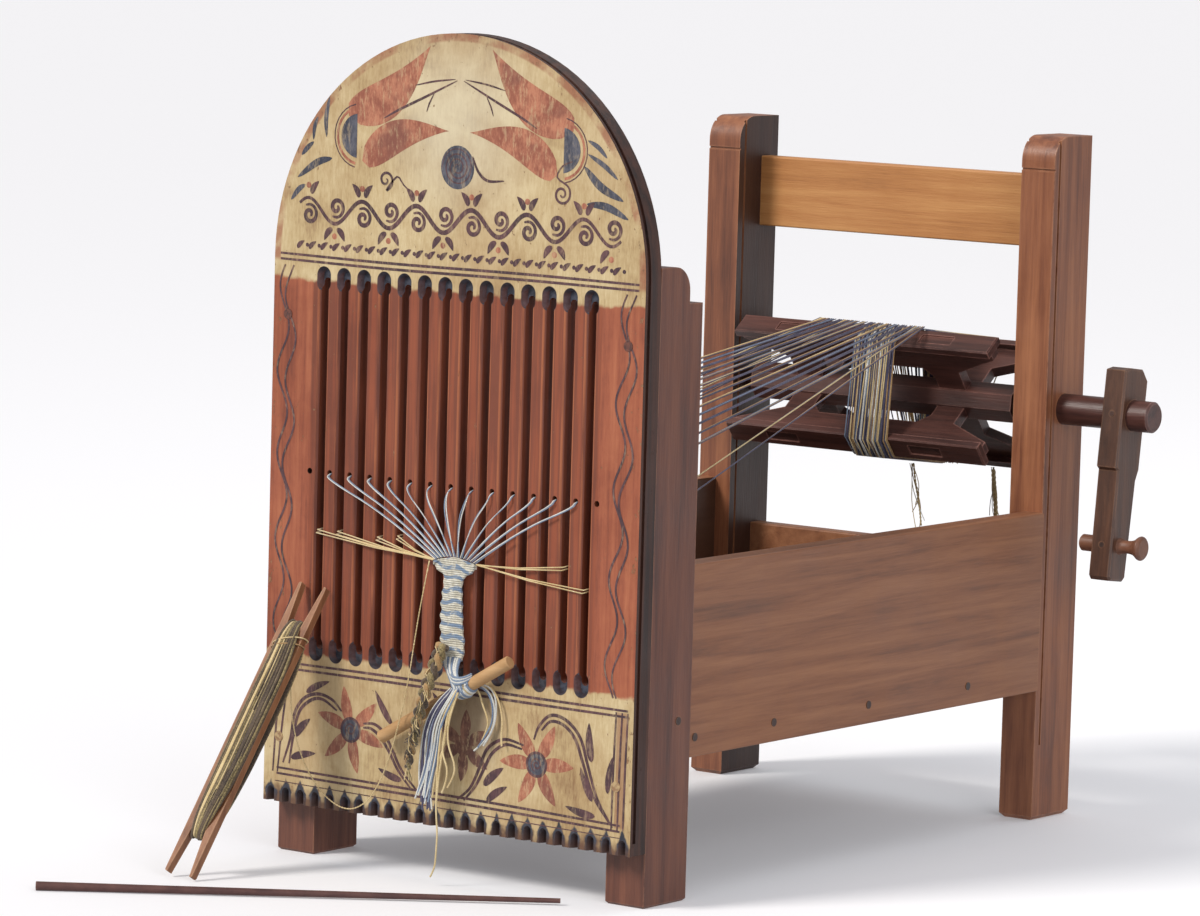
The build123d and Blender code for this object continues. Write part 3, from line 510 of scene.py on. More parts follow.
# ---- painted motifs
class Motifs:
    """Flat painted shapes just in front of the board, all of one colour."""

    def __init__(self, name, proud, low, high, worn):
        self.name, self.proud = name, proud
        self.look = paint_look(name, low, high, worn)
        self.shape = bmesh.new()
        self.count = 0

    def place(self, point):
        return self.shape.verts.new(at(point[0], -self.proud - 0.002 * (self.count % 12), point[1]))

    def outline(self, points):
        self.count += 1
        face = self.shape.faces.new([self.place(point) for point in points])
        if face.normal.y > 0:
            face.normal_flip()

    def strip(self, lefts, rights):
        self.count += 1
        lefts = [self.place(point) for point in lefts]
        rights = [self.place(point) for point in rights]
        for index in range(len(lefts) - 1):
            self.shape.faces.new((lefts[index], lefts[index + 1], rights[index + 1], rights[index]))

    def stroke(self, points, width, ends=0.25, steps=6):
        """A brush stroke along a smooth line through points, thinner at its ends."""
        line = smooth_line(points, steps)
        lefts, rights = [], []
        for index, point in enumerate(line):
            ahead = (line[min(index + 1, len(line) - 1)] - line[max(index - 1, 0)]).normalized()
            share = index / (len(line) - 1)
            swell = ends + (1 - ends) * sin(pi * share) ** 0.6
            half = Vector((-ahead.y, ahead.x)) * width * swell / 2
            lefts.append(point + half)
            rights.append(point - half)
        self.strip(lefts, rights)

    def leaf(self, base, tip, width, bend=0, fullness=1.2, steps=18):
        """A pointed leaf or teardrop petal. Fullness above 1 puts its belly nearer the base."""
        base, tip = Vector(base), Vector(tip)
        across = Vector((base.y - tip.y, tip.x - base.x)).normalized()
        lefts, rights = [], []
        for index in range(steps + 1):
            share = index / steps
            middle = tip.lerp(base, share) + across * bend * sin(pi * share)
            half = across * width * 1.5 * share**fullness * sqrt(max(0, 1 - share))
            lefts.append(middle + half)
            rights.append(middle - half)
        self.strip(lefts, rights)

    def dot(self, middle, radius, squash=1):
        turns = [2 * pi * index / 28 for index in range(28)]
        self.outline([polar(middle, radius, turn, squash) for turn in turns])

    def ring(self, middle, radius, width, start=0, turn=360):
        steps = int(turn / 12)
        angles = [radians(start + turn * index / steps) for index in range(steps + 1)]
        edges = (radius - width / 2, radius + width / 2)
        self.strip(*([polar(middle, edge, angle) for angle in angles] for edge in edges))

    def spiral(self, middle, radius, turns, width, start=0, way=1, tail=()):
        """A scroll that opens from its middle, with an optional tail of further points."""
        count = int(turns * 10)
        points = []
        for index in range(count + 1):
            share = index / count
            angle = radians(start) + way * 2 * pi * turns * share
            points.append(polar(middle, radius * (0.12 + 0.88 * share), angle))
        self.stroke(points + list(tail), width, 0.4, 3)

    def finish(self):
        bmesh.ops.triangulate(self.shape, faces=[face for face in self.shape.faces if len(face.verts) > 4])
        for face in self.shape.faces:
            face.normal_update()
            if face.normal.y > 0:
                face.normal_flip()
        return linked(self.name, mesh_from(self.name, self.shape), self.look, "frame")


def polar(middle, reach, angle, squash=1):
    """The flat point at a reach and an angle from the middle. Squash scales its height."""
    return (middle[0] + reach * cos(angle), middle[1] + reach * squash * sin(angle))


def smooth_line(points, steps):
    """Points on a smooth curve through the given flat points."""
    points = [Vector(point) for point in points]
    padded = [points[0] * 2 - points[1], *points, points[-1] * 2 - points[-2]]
    line = []
    for a, b, c, d in zip(padded, padded[1:], padded[2:], padded[3:]):
        square, cubic = 2 * a - 5 * b + 4 * c - d, 3 * b - a - 3 * c + d
        for index in range(steps):
            t = index / steps
            line.append(0.5 * (2 * b + (c - a) * t + square * t**2 + cubic * t**3))
    line.append(points[-1])
    return line


red_paint = Motifs("paint_red", 0.05, (0.26, 0.078, 0.045), (0.48, 0.19, 0.108), 0.5)
blue_paint = Motifs("paint_blue", 0.08, (0.03, 0.032, 0.05), (0.105, 0.105, 0.13), 0.35)
dark_paint = Motifs("paint_purple", 0.11, (0.045, 0.018, 0.024), (0.12, 0.052, 0.056), 0.3)
faded_paint = Motifs("paint_faded", 0.03, (0.115, 0.05, 0.04), (0.27, 0.13, 0.085), 0.8)

# the arched panel: two pairs of teardrop petals, each pair on a half-round calyx
for side in (-1, 1):
    red_paint.leaf((side * 69, 371.5), (side * 19, 408), 19, side * 6.5, 1.15)
    red_paint.leaf((side * 60, 350), (side * 6.5, 367.4), 16, side * -6, 1.2)
    angles = [radians(-82 + 164 * index / 14) for index in range(15)]
    blue_paint.outline([(side * (62 + 11.5 * cos(a)), 362 + 11 * sin(a)) for a in angles])
    start = -80 if side > 0 else 100
    red_paint.ring((side * 62, 362), 13.8, 1.4, start, 160)
    dark_paint.ring((side * 62, 362), 15.6, 0.6, start, 160)
    dark_paint.stroke([(side * 2, 392), (side * 22, 383), (side * 38, 376), (side * 47, 371.5)], 1.3)
    dark_paint.stroke([(side * 3, 392.6), (side * 16, 391), (side * 28, 388.5)], 0.9)
    dark_paint.stroke([(side * 16, 385.4), (side * 19, 380), (side * 20.5, 376)], 0.8)
# strokes that fan down inside both sides of the arch
for line, width in (
    ([(-81.6, 380), (-83.4, 370), (-82.9, 360.4)], 2.6),
    ([(-88.6, 370), (-90.6, 365), (-91.2, 358.7)], 2.2),
    ([(-91, 357.6), (-95, 354.4), (-98.4, 350.8)], 2.6),
    ([(-79.1, 350.2), (-88.5, 347.6), (-100.6, 339.7)], 3.6),
    ([(-95.8, 336.3), (-100, 333.6), (-104.6, 328.3)], 2.8),
    ([(77.9, 367.5), (84, 364.6), (89.4, 359.8)], 2.4),
    ([(78.1, 361), (88, 356), (96, 350)], 2.6),
    ([(76.1, 355), (86, 346), (99.6, 339.9)], 4.2),
    ([(78.2, 337.3), (90, 336.6), (102.8, 331.4)], 3.8),
):
    blue_paint.stroke(line, width, 0.12)
blue_paint.dot((-0.6, 350.2), 10.2, 1.04)
dark_paint.stroke([(8.5, 356), (12, 349), (18, 344.8), (28, 345.2)], 1.5, 0.3)
dark_paint.spiral((-0.6, 350.2), 9.6, 3.4, 0.7, 40)
dark_paint.spiral((-45, 341.5), 5, 1.4, 1.3, 60, -1, [(-38, 343.5), (-34, 340), (-30, 337)])
dark_paint.spiral((63, 341), 5.4, 1.6, 1.3, 200, 1, [(60, 349), (63, 354.5), (69, 357)])

# a running vine: a waved stem with a scroll in each hollow and slim leaves outside, over a beaded row
VINE_Z, VINE_WAVE, VINE_SWING = 324, 34, 6
stem = [(x, VINE_Z + VINE_SWING * sin(2 * pi * x / VINE_WAVE)) for x in range(-99, 100, 3)]
dark_paint.stroke(stem, 2.3, 0.6, 2)
for index in range(-6, 6):
    x = VINE_WAVE * (index / 2 + 0.25)
    way = -1 if index % 2 else 1
    crest = VINE_Z + way * VINE_SWING
    dark_paint.spiral((x + 1, crest - way * 8.2), 5.2, 1.5, 2.2, -60 * way, way)
    for lean in (-1, 1):
        if abs(x + 7 * lean) < 96:
            base = (x + 1.6 * lean, crest + way * 2)
            dark_paint.leaf(base, (x + 6.4 * lean, crest + way * 8.4), 2.7, 0.7 * lean, 0.85)
    red_paint.dot((x, crest + way * 6.2), 1.5)
for index in range(27):
    x = -97.5 + 7.5 * index
    dark_paint.leaf((x - 2.6, 304.8), (x + 2, 308.6), 2.1, 0.4, 0.9)
    dark_paint.dot((x + 3.9, 306.6), 1)

# border lines
for z in (301.2, 298.4):
    dark_paint.stroke([(-110.5, z + 0.4), (-40, z - 0.3), (40, z + 0.2), (110.5, z - 0.2)], 1.35, 0.8)
for z in (97.6, 94.7):
    dark_paint.stroke([(-99, z), (-30, z + 0.2), (40, z - 0.3), (111, z - 0.5)], 1.35, 0.8)
for z in (43.2, 40.3):
    dark_paint.stroke([(-106, z + 1), (-30, z + 0.3), (40, z - 0.4), (108, z - 1.8)], 1.3, 0.8)
dark_paint.stroke([(-107, 37.4), (-20, 36.6), (60, 35.8), (108, 35.4)], 0.5, 0.8)
for low, high in ((-105.5, -98.5), (-108.5, -103.5)):
    dark_paint.stroke([(high, 97), (0.5 * (low + high) - 0.6, 70), (low, 42)], 1.2, 0.7)
for x in (104, 107.6, 111):
    dark_paint.stroke([(x, 96), (x - 0.8, 68), (x - 1.2, 39)], 1.2, 0.7)

# two wavy lines down each margin
for side in (-1, 1):
    for gap in (-2.1, 2.1):
        wave = []
        for index in range(46):
            z = 296 - 4.3 * index
            drift = -0.02 * (296 - z) if side > 0 else 0.005 * (296 - z)
            swing = 3.3 * sin(2 * pi * (z + gap * 1.2) / 42)
            wave.append((side * 105.5 + drift + gap * (1 + 0.25 * sin(z / 17)) + swing, z))
        dark_paint.stroke(wave, 1.25, 0.7, 2)


def flower(middle, reach, width, turn, petal_paint=red_paint, eye_paint=blue_paint):
    """A flower of six pointed petals round a dark ringed eye."""
    for petal in range(6):
        angle = radians(turn + 60 * petal)
        base, tip = polar(middle, 3.5, angle), polar(middle, reach, angle)
        petal_paint.leaf(base, tip, width, 0.5 * (-1) ** petal, 0.85)
    eye_paint.dot(middle, 5.2)
    if eye_paint is blue_paint:
        dark_paint.ring(middle, 5.8, 1.3)
        dark_paint.spiral(middle, 3.6, 1.7, 1, turn)


flower((-59, 68.4), 22, 5.4, -17)
flower((12, 69), 18, 5.2, 26, faded_paint, faded_paint)
flower((57, 65), 22.5, 5.8, 2)
for line in (
    [(-102, 47), (-97.5, 60), (-95, 73), (-89, 81), (-80, 84), (-71, 82), (-65, 77)],
    [(-98, 47), (-95.5, 62), (-92, 74), (-84.5, 80.5), (-77, 81.5), (-68, 77)],
    [(103.5, 40), (94, 53), (88, 68), (83, 81), (74.5, 88.5), (65, 90), (58, 84), (55, 77)],
    [(101.5, 42), (91.5, 54), (85, 69), (80, 80), (73, 86), (65, 87), (59.5, 82)],
    [(9, 42), (17, 49), (22.5, 60), (27, 69.5), (37, 75), (49, 73.5)],
    [(13, 42), (20, 50), (25.5, 60), (30, 67.5), (38, 72.5), (48, 71.5)],
    [(-16, 43), (-26, 52), (-32, 61), (-38, 69.5), (-44, 73), (-51, 72.5)],
    [(-19.5, 43), (-28.5, 52), (-34, 60), (-40, 67), (-46, 70.5), (-51, 70.5)],
):
    dark_paint.stroke(line, 1.75, 0.5)
for base, tip, width in (
    ((-88, 84), (-73, 91), 3.6),
    ((-95, 61), (-85, 71), 4.4),
    ((-97, 50), (-81, 54), 4),
    ((-33, 74), (-44, 90), 3.8),
    ((-26, 47), (-41, 51.5), 3.8),
    ((25, 51), (37, 61), 4.6),
    ((27, 43.5), (39.5, 52), 4),
    ((90, 70), (88, 89), 4.6),
    ((93, 44), (75, 47), 4),
    ((100, 56), (102.5, 74), 3.6),
    ((91, 51), (83.5, 67), 3.6),
    ((0, 86), (-8, 93), 3),
):
    dark_paint.leaf(base, tip, 0.78 * width, 0.6, 0.8)

for motifs in (red_paint, blue_paint, dark_paint, faded_paint):
    motifs.finish()


# ---- thread
def thread_look(name, low, high, twist=2600):
    """Spun thread: a fine ply twist, and a slight change of tone along its length."""
    look = Look(name, 0.85)
    look.shader.inputs["Sheen Weight"].default_value = 0.3
    ply = look.noise(twist, 2, (1, 1, 1), 0.6)
    tone = look.noise(60, 3)
    colour = look.mix(look.step(look.add(look.times(ply, 0.6), look.times(tone, 0.4)), 0.36, 0.64), low, high)
    return look.finish(colour, ply, 0.00012)


LOOKS = {
    "white": thread_look("white_thread", (0.5, 0.5, 0.47), (0.78, 0.77, 0.72)),
    "pale": thread_look("pale_blue_thread", (0.105, 0.15, 0.245), (0.26, 0.335, 0.44)),
    "blue": thread_look("blue_thread", (0.028, 0.026, 0.062), (0.098, 0.09, 0.16)),
    "cream": thread_look("cream_thread", (0.52, 0.37, 0.16), (0.76, 0.61, 0.34)),
    "tan": thread_look("tan_thread", (0.27, 0.15, 0.055), (0.47, 0.29, 0.125)),
    "olive": thread_look("olive_thread", (0.085, 0.06, 0.022), (0.33, 0.25, 0.11), 1300),
    "brown": thread_look("brown_thread", (0.035, 0.022, 0.013), (0.12, 0.08, 0.048), 1500),
}


class Strands:
    """Threads gathered by colour, so that each colour becomes one piece."""

    def __init__(self, name, radius, body, slot, straight=False, cyclic=False):
        self.name, self.radius, self.body, self.slot = name, radius, body, slot
        self.straight, self.cyclic = straight, cyclic
        self.routes = {}

    def add(self, colour, route):
        self.routes.setdefault(colour, []).append([at(*point) for point in route])

    def finish(self, replaced=()):
        made = []
        for colour, routes in self.routes.items():
            data = curve_from(f"{self.name}_{colour}", routes, self.radius, self.straight, self.cyclic)
            made.append(linked(f"{self.name}_{colour}", data, LOOKS[colour], self.body))
        for node in replaced:
            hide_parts(node)
        return made


def jitter(size):
    return rng.uniform(-size, size)


# free cords: the weft thread, the braid and two loose ends on the reel
WEFT = (
    (-7.6, -5.6, 158.4), (-9.5, -8.5, 140), (-11.5, -10.5, 120.5), (-13.2, -12.2, 101.5),
    (-16.8, -12.9, 83.5), (-22, -12.8, 65.5), (-29, -12.2, 48.5), (-38.5, -11.5, 35.5),
    (-51, -11, 30), (-64.5, -11, 34.5), (-76, -11.2, 45.5), (-83.5, -12, 60),
    (-86.8, -13, 76), (-86.2, -14.4, 91.5), (-84.3, -16.9, 105.5),
)
BRAID = (
    (5, -9.4, 118.5), (2.4, -12.8, 107.5), (-0.8, -14.8, 96),
    (-4.2, -15.6, 83), (-8, -15.2, 69.5), (-10.8, -14.6, 57),
)
TAIL = ((16, 381, 180.3), (17, 381.5, 170), (20, 382, 158.5), (21.5, 382, 147))
BUNCH = ((54, 401, 178.6), (54.6, 401.5, 169.5), (56.5, 401, 158.5), (57.5, 400, 146.5))


def plied(name, route, radius, strands, lay, body, node):
    """A cord of round cream strands twisted together along the route's smooth line."""
    line = line_of([at(*point) for point in route], 14)
    shape = bmesh.new()
    strand_radius = radius / (1 + 1 / sin(pi / strands))
    offset = radius - strand_radius
    for strand in range(strands):
        places, run = [], 0
        for index, (place, side, over) in enumerate(frames_along(line)):
            if index:
                run += (line[index] - line[index - 1]).length
            angle = 2 * pi * (run / lay + strand / strands)
            places.append(place + offset * (cos(angle) * side + sin(angle) * over))
        add_tube(shape, places, strand_radius, 7)
    piece = linked(name, mesh_from(name, shape), LOOKS["cream"], body)
    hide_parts(node)


plied("weft_yarn", WEFT, 0.0004, 2, 0.0035, None, "weft_thread")
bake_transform(bpy.data.objects["weft_yarn"])
plied("warp_end_thin", TAIL, 0.0006, 2, 0.004, "reel", "warp_tail")
plied("warp_end_bunch", BUNCH, 0.0013, 3, 0.008, "reel", "warp_bunch")


# ---- warp on the loom
def fell_point(share):
    """Where a warp thread reaches the woven edge. share runs from -1 to 1 across it."""
    return (7.2 + 13 * share, -4.6 + 0.5 * abs(share), 161.6 - 2.6 * share**2)


def reel_corners(lift):
    """The reel's eight slat corners, pushed out by lift, in depth and height."""
    corners = []
    for spoke in range(4):
        angle = radians(REEL_PHASE + 90 * spoke)
        for end in (-SLAT_HALF, SLAT_HALF):
            reach = SLAT_FACE + lift
            corners.append((
                AXLE_Y - reach * cos(angle) + end * sin(angle),
                AXLE_Z + reach * sin(angle) + end * cos(angle),
            ))
    return corners


def winding_x(x):
    """The x at which a thread with that x at the board comes in over the reel."""
    return 2.8 + 0.4 * x


def reel_corner(x):
    """Where a thread with that x at the board comes in, just clear of the reel's nearest slat."""
    return (winding_x(x), *reel_corners(2.8)[1])


heddles = Strands("heddle_warp", 0.00029, "frame", "warp_thread")
behind = Strands("heddle_back", 0.00027, "frame", "warp_thread", straight=True)
back_colours = ("blue", "tan", "cream", "blue", "blue", "tan", "pale", "blue")
for number in range(-6, 7):
    x = number * PITCH
    slack = 3.4 * max(0, 1 - abs(number - 0.4) / 4.2)
    for ply in (-1, 1):
        end = fell_point((number + 0.25 * ply) / 6.6)
        heddles.add("white" if ply < 0 else "pale", [
            (x + 0.2 * ply, 6, HOLE_Z),
            (x + 0.3 * ply, -0.6, HOLE_Z - 0.3),
            (x + (0.6 - slack * 0.35) * ply - slack * 0.5, -1.6 - 0.3 * slack, HOLE_Z - 3 - slack),
            (0.45 * x + 0.55 * end[0] - slack * (0.8 + 0.3 * ply), -3.2 - 0.4 * slack, HOLE_Z - 17),
            end,
        ])
        behind.add(back_colours[(number + (3 if ply > 0 else 0)) % 8], [
            (x, 8, HOLE_Z), (x + 0.3 * ply, 13, HOLE_Z), reel_corner(x + 1.4 * ply),
        ])
    behind.add("blue", [(x, 8, HOLE_Z), (x, 13, HOLE_Z - 0.3), reel_corner(x + 5)])
heddles.finish(["heddle_threads"])
behind.finish()

slots = Strands("slot_warp", 0.00034, "frame", "warp_thread", straight=True)
for slot, high in ((0, 165.3), (1, 165.6), (3, 165.2), (4, 167), (12, 161.6), (13, 151.8)):
    x = (slot - 6.5) * PITCH
    for ply in (-1, 1):
        beside, height, low = x + 0.4 * ply, high + 0.8 * ply, 166 + 0.5 * ply
        end = fell_point(copysign(1.02 + 0.03 * ply, x))
        slots.add("cream", [
            (beside, 13, low), (beside, 5, height + 0.3), (beside, -1, height),
            (0.5 * (x + end[0]), -2.6, 0.5 * (height + end[2]) - 0.9), end,
        ])
        slots.add(("tan", "cream", "blue")[(slot + ply) % 3], [
            (beside, 6, low), (beside, 13, low), reel_corner(x + 1.2 * ply),
        ])
slots.finish(["slot_threads"])


# ---- warp on the reel
WINDING_MIDDLE = 11
winding = Strands("wound_warp", 0.00036, "reel", "warp_thread", straight=True, cyclic=True)
turn_colours = (
    "blue", "pale", "cream", "blue", "tan", "blue", "cream", "blue", "cream", "tan", "white", "blue",
)
for layer, (count, lift) in enumerate(((34, 0.5), (31, 1.15), (27, 1.8))):
    spread = 26 - 2.5 * layer
    for turn in range(count):
        x = WINDING_MIDDLE - spread / 2 + spread * (turn + 0.5) / count
        route = [(x + jitter(1.1), *corner) for corner in reel_corners(lift + jitter(0.12))]
        winding.add(turn_colours[(turn * 5 + layer * 3 + int(rng.random() * 3)) % 12], route)
winding.finish(["warp_winding"])

# the warp that lies over the top slats before it closes up into the winding
spread_warp = Strands("spread_warp", 0.00036, "reel", "warp_thread", straight=True)
for index in range(72):
    start_x = winding_x(-80 + 2.3 * index + jitter(1.5))
    end_x = 17 + (start_x - WINDING_MIDDLE) * 1.2 + jitter(9)
    last_x = WINDING_MIDDLE + (end_x - WINDING_MIDDLE) * 0.5 + jitter(3)
    corners = reel_corners(0.25 + 0.75 * rng.random())[1:6]
    across = (start_x, end_x, end_x + jitter(2), last_x, last_x)
    spread_warp.add(turn_colours[(index * 7) % 12], [(x, *corner) for x, corner in zip(across, corners)])
spread_warp.finish()

# thread ends that hang out of the winding and from the slat beside the crank
wisps = Strands("warp_wisps", 0.00022, "reel", "warp_thread")
WISP_TOP = 180
for index in range(5):
    drop = 22 + 4 * index
    wisps.add(("cream", "tan", "white")[index % 3], [
        (15 + jitter(2), 381, WISP_TOP),
        (16.5 + jitter(2.6), 381.5 + jitter(1.5), WISP_TOP - 0.3 * drop),
        (19 + jitter(4.5), 382 + jitter(2), WISP_TOP - 0.65 * drop),
        (21 + jitter(8), 382 + jitter(2), WISP_TOP - drop),
    ])
    wisps.add(("cream", "white", "tan")[index % 3], [
        (53 + jitter(1.6), 401, WISP_TOP),
        (54 + jitter(2.2), 401.5, WISP_TOP - 0.35 * drop),
        (56 + jitter(4.4), 401 + jitter(1.5), WISP_TOP - 0.7 * drop),
        (57 + jitter(6.5), 400 + jitter(2), WISP_TOP - drop),
    ])
wisps.finish()


# ---- the woven tape
TAPE_BAR = 5.7


def tape_look():
    """Warp-faced tape: cream and blue-grey bars with a wavy edge, ribbed across by the weft, with painted shade
    in the creases.
    """
    look = Look("tape_cloth", 0.85)
    step, times, add, mix, noise = look.step, look.times, look.add, look.mix, look.noise
    look.shader.inputs["Sheen Weight"].default_value = 0.35
    x, _, z = look.axes()
    swell = times(look.less(noise(90, 2), 0.5), 5)
    sway = times(look.math("SINE", look.math("MULTIPLY_ADD", x, 0.42, 0.6)), 1.15)
    row = look.zigzag(add(z, add(sway, times(x, 0.1), swell)), 290, TAPE_BAR / 2)
    blue = times(step(row, 0.27 * TAPE_BAR, 0.36 * TAPE_BAR), step(noise(260, 3), 0.25, 0.48))
    weft_row = look.zigzag(z, 200, 0.55)
    warp_row = look.zigzag(x, 200, 0.42)
    tone = noise(500, 4)
    cloth = mix(step(tone, 0.35, 0.65), (0.62, 0.58, 0.46), (0.84, 0.81, 0.7))
    cloth = mix(blue, cloth, (0.185, 0.265, 0.39))
    # painted shade in the creases between the weft ribs
    cloth = mix(step(weft_row, 0.22, 0.05), cloth, (0.62, 0.58, 0.52), "MULTIPLY")
    height = add(times(weft_row, 1.2), times(warp_row, 0.9), times(tone, 0.3))
    return look.finish(cloth, height, 0.0005)


def tape_edges(z):
    """The tape's left and right edges at a height: flared at the fell, narrow below it."""
    profile = (
        (161.5, -5.4, 20.2), (158.8, -5.6, 20.4), (155.5, -3.2, 18), (152.6, 0.2, 14.2),
        (150, 1.3, 12.1), (146, 0.6, 12), (138, -0.2, 12.4), (128, -0.4, 13),
        (120, 0, 14.2), (114, 0.8, 14), (111, 1.6, 13.2),
    )
    for (high, left, right_edge), (low, next_left, next_right) in zip(profile, profile[1:]):
        if low <= z <= high:
            share = (high - z) / (high - low)
            share = share * share * (3 - 2 * share)
            return left + (next_left - left) * share, right_edge + (next_right - right_edge) * share
    return profile[-1][1:]


def build_tape():
    """A thin closed cloth with a soft crown, sagging edges and a gathered lower end."""
    rows, columns = 110, 20
    shape = bmesh.new()
    sheets = []
    for front in (True, False):
        sheet = []
        for row in range(rows + 1):
            z = 161.4 - 50.4 * row / rows
            left, right_edge = tape_edges(z)
            line = []
            for column in range(columns + 1):
                share = column / columns
                across = 2 * share - 1
                x = left + (right_edge - left) * share + 0.28 * sin(2 * pi * z / TAPE_BAR) * across
                crown = 0.9 * (1 - across * across)
                rib = 0.28 * sin(2 * pi * (z + sin(0.42 * x + 0.6)) / TAPE_BAR)
                height = z - (2.6 * across * across if row == 0 else 0)
                height -= 2.2 * across * across * max(0, (z - 152) / 9.4)
                depth = -4.9 - crown - rib if front else -4 - crown * 0.6
                line.append(shape.verts.new(at(x, depth, height)))
            sheet.append(line)
        sheets.append(sheet)
    for sheet, flip in zip(sheets, (False, True)):
        for upper, lower in zip(sheet, sheet[1:]):
            for column in range(columns):
                corners = (upper[column], lower[column], lower[column + 1], upper[column + 1])
                shape.faces.new(corners[::-1] if flip else corners).smooth = True
    front, back = sheets
    for row in range(rows):
        shape.faces.new((front[row][0], back[row][0], back[row + 1][0], front[row + 1][0]))
        shape.faces.new((front[row][-1], front[row + 1][-1], back[row + 1][-1], back[row][-1]))
    for column in range(columns):
        shape.faces.new((front[0][column], front[0][column + 1], back[0][column + 1], back[0][column]))
        shape.faces.new((front[-1][column], back[-1][column], back[-1][column + 1], front[-1][column + 1]))
    bmesh.ops.recalc_face_normals(shape, faces=shape.faces)
    return linked("tape_cloth", mesh_from("tape_cloth", shape), tape_look(), "frame")


tape = build_tape()
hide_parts("woven_tape")

# the knot: the tape's end gathered to a loop, and turns of the same thread round the stick
STICK_LOW, STICK_HIGH = Vector((-34, -7, 68.5)), Vector((44.6, -7, 114.4))
along = (STICK_HIGH - STICK_LOW).normalized()
beside = Vector((0, -1, 0))
above = along.cross(beside).normalized()
KNOT_COLOURS = ("white", "pale", "white", "white", "pale", "white", "cream", "white", "pale")
knot = Strands("knot", 0.00062, "frame", "tape_cloth")
for turn in range(9):
    middle = Vector((17.6, -7, 98.7)) + along * (turn * 1.05 - 4.2)
    reach = 3.95 + 0.25 * sin(turn * 2.1) + (0.7 if 3 <= turn <= 5 else 0)
    ring = []
    for corner in range(13):
        angle = 2 * pi * corner / 12
        around = cos(angle) * beside + sin(angle) * above
        ring.append(middle + reach * around + along * (0.5 * angle / 6.28))
    knot.add(KNOT_COLOURS[turn], ring)
for strand in range(9):
    share = (strand - 4) / 4
    knot.add("pale" if strand in (0, 3, 5, 8) else "white", [
        (7.4 + 5.6 * share, -5.6 - 0.5 * (1 - abs(share)), 112.4),
        (8.4 + 4.6 * share, -7.4 - 0.8 * (1 - abs(share)), 109),
        (11.2 + 2.8 * share, -9.4 - 1.6 * (1 - abs(share)), 105.8),
        (14.2 + 2.2 * share, -11.6, 103.2 + 0.9 * share),
        (16.6 + 2 * share, -12.2, 99.6 + 1.5 * share),
        (17.6 + 1.6 * share, -10.8, 95.4 + 1.2 * share),
    ])
for strand in range(5):
    share = (strand - 2) / 2
    knot.add("white" if strand % 2 else "pale", [
        (10 + share, -9, 104.6 + 1.3 * share), (13, -12.3 - 0.5 * share, 103.2 + 1.6 * share),
        (16.6, -13, 102.4 + 1.7 * share), (20.6, -11.4, 103.2 + 1.2 * share), (22.4, -8.4, 105.2 + share),
    ])
knot_pieces = knot.finish(["tape_knot"])

# the fringe: warp ends that hang below the knot
fringe = Strands("fringe", 0.00046, "frame", "fringe_thread")
for strand in range(13):
    share = (strand - 6) / 6
    fringe.add(("white", "pale", "blue", "white", "pale")[strand % 5], [
        (15.5 + 2 * share, -12, 98.5), (12 + 2.8 * share + jitter(0.6), -13.6 - 0.6 * (strand % 3), 91),
        (6.6 + 3.2 * share + jitter(0.8), -14.2 - 0.7 * (strand % 3), 80),
        (3.4 + 3.4 * share + jitter(1.1), -13.6, 66), (0.8 + 3.6 * share + jitter(1.5), -13.2, 54),
        (-2.6 + 4.2 * share + jitter(2), -13, 44 + jitter(5)),
    ])
for strand in range(9):
    share = (strand - 4) / 4
    fringe.add("blue" if strand % 4 else "white", [
        (14 + 1.6 * share, -11.6, 98.5), (7.4 + 2.2 * share, -13.4, 91.5),
        (1 + 2.4 * share + jitter(0.7), -13.4, 80),
        (-1.6 + 2.6 * share + jitter(1), -13, 68), (-1.2 + 3.2 * share + jitter(1.3), -12.8, 54),
        (-0.6 + 3.8 * share, -12.6, 42 + jitter(5)),
    ])
for route in (
    [(16.5, -12.4, 98), (13.6, -14.4, 91), (12.6, -14.8, 80), (11.4, -14.6, 70), (6.4, -14.2, 58),
     (4.2, -13.8, 44)],
    [(17, -12.4, 97), (12.8, -14.8, 86), (12.2, -15, 77), (10, -14.8, 67), (15.4, -14.6, 57),
     (10.4, -14.2, 47)],
    [(17.4, -12.2, 97), (14, -14.6, 85), (13.2, -14.8, 72), (18.9, -14.4, 61), (16.5, -14.2, 54),
     (13.6, -14, 50)],
    [(16.8, -12.6, 96), (11, -14.8, 88), (9.6, -15.2, 76), (8, -15, 62), (7.4, -14.4, 50), (6.8, -14, 40),
     (7.2, -13.6, 32), (7.6, -13.4, 26), (6.9, -13.2, 16), (6.2, -13, 9), (3.4, -12.8, 4.6)],
    [(17.2, -12.4, 96), (13, -14.6, 84), (11, -14.8, 70), (9, -14.6, 58), (7.6, -14.2, 48), (7, -14, 42)],
):
    fringe.add("cream", route)
for strand, route in enumerate((
    [(21.5, -3.4, 100), (27, -3, 99), (31.4, -3, 93), (32.2, -3.2, 84), (29, -3.6, 77), (24, -4, 70)],
    [(21.5, -3, 100.6), (28, -2.6, 99), (32.6, -2.6, 92), (33, -2.8, 82), (29, -3.4, 74), (21.6, -4, 68)],
    [(22, -3.2, 101), (28.4, -2.4, 101), (33.4, -2.4, 95), (33.6, -2.6, 85), (31, -3, 77), (27, -3.6, 71)],
    [(22, -2.6, 101), (29, -2.2, 101), (35, -2.2, 94), (37.8, -2.6, 84), (37, -2.8, 76), (37.8, -3, 72)],
    [(21, -3, 99), (23.6, -3, 96), (25, -3.2, 92), (29.6, -3.4, 84), (29, -3.6, 79), (26.4, -3.8, 74)],
)):
    fringe.add(("pale", "white", "white", "cream", "cream")[strand], route)
fringe_pieces = fringe.finish(["tape_fringe"])


# ---- the braid beside the tape
# along the line, in metres: where the braid has narrowed by two fifths
BRAID_LENGTH = 0.0645


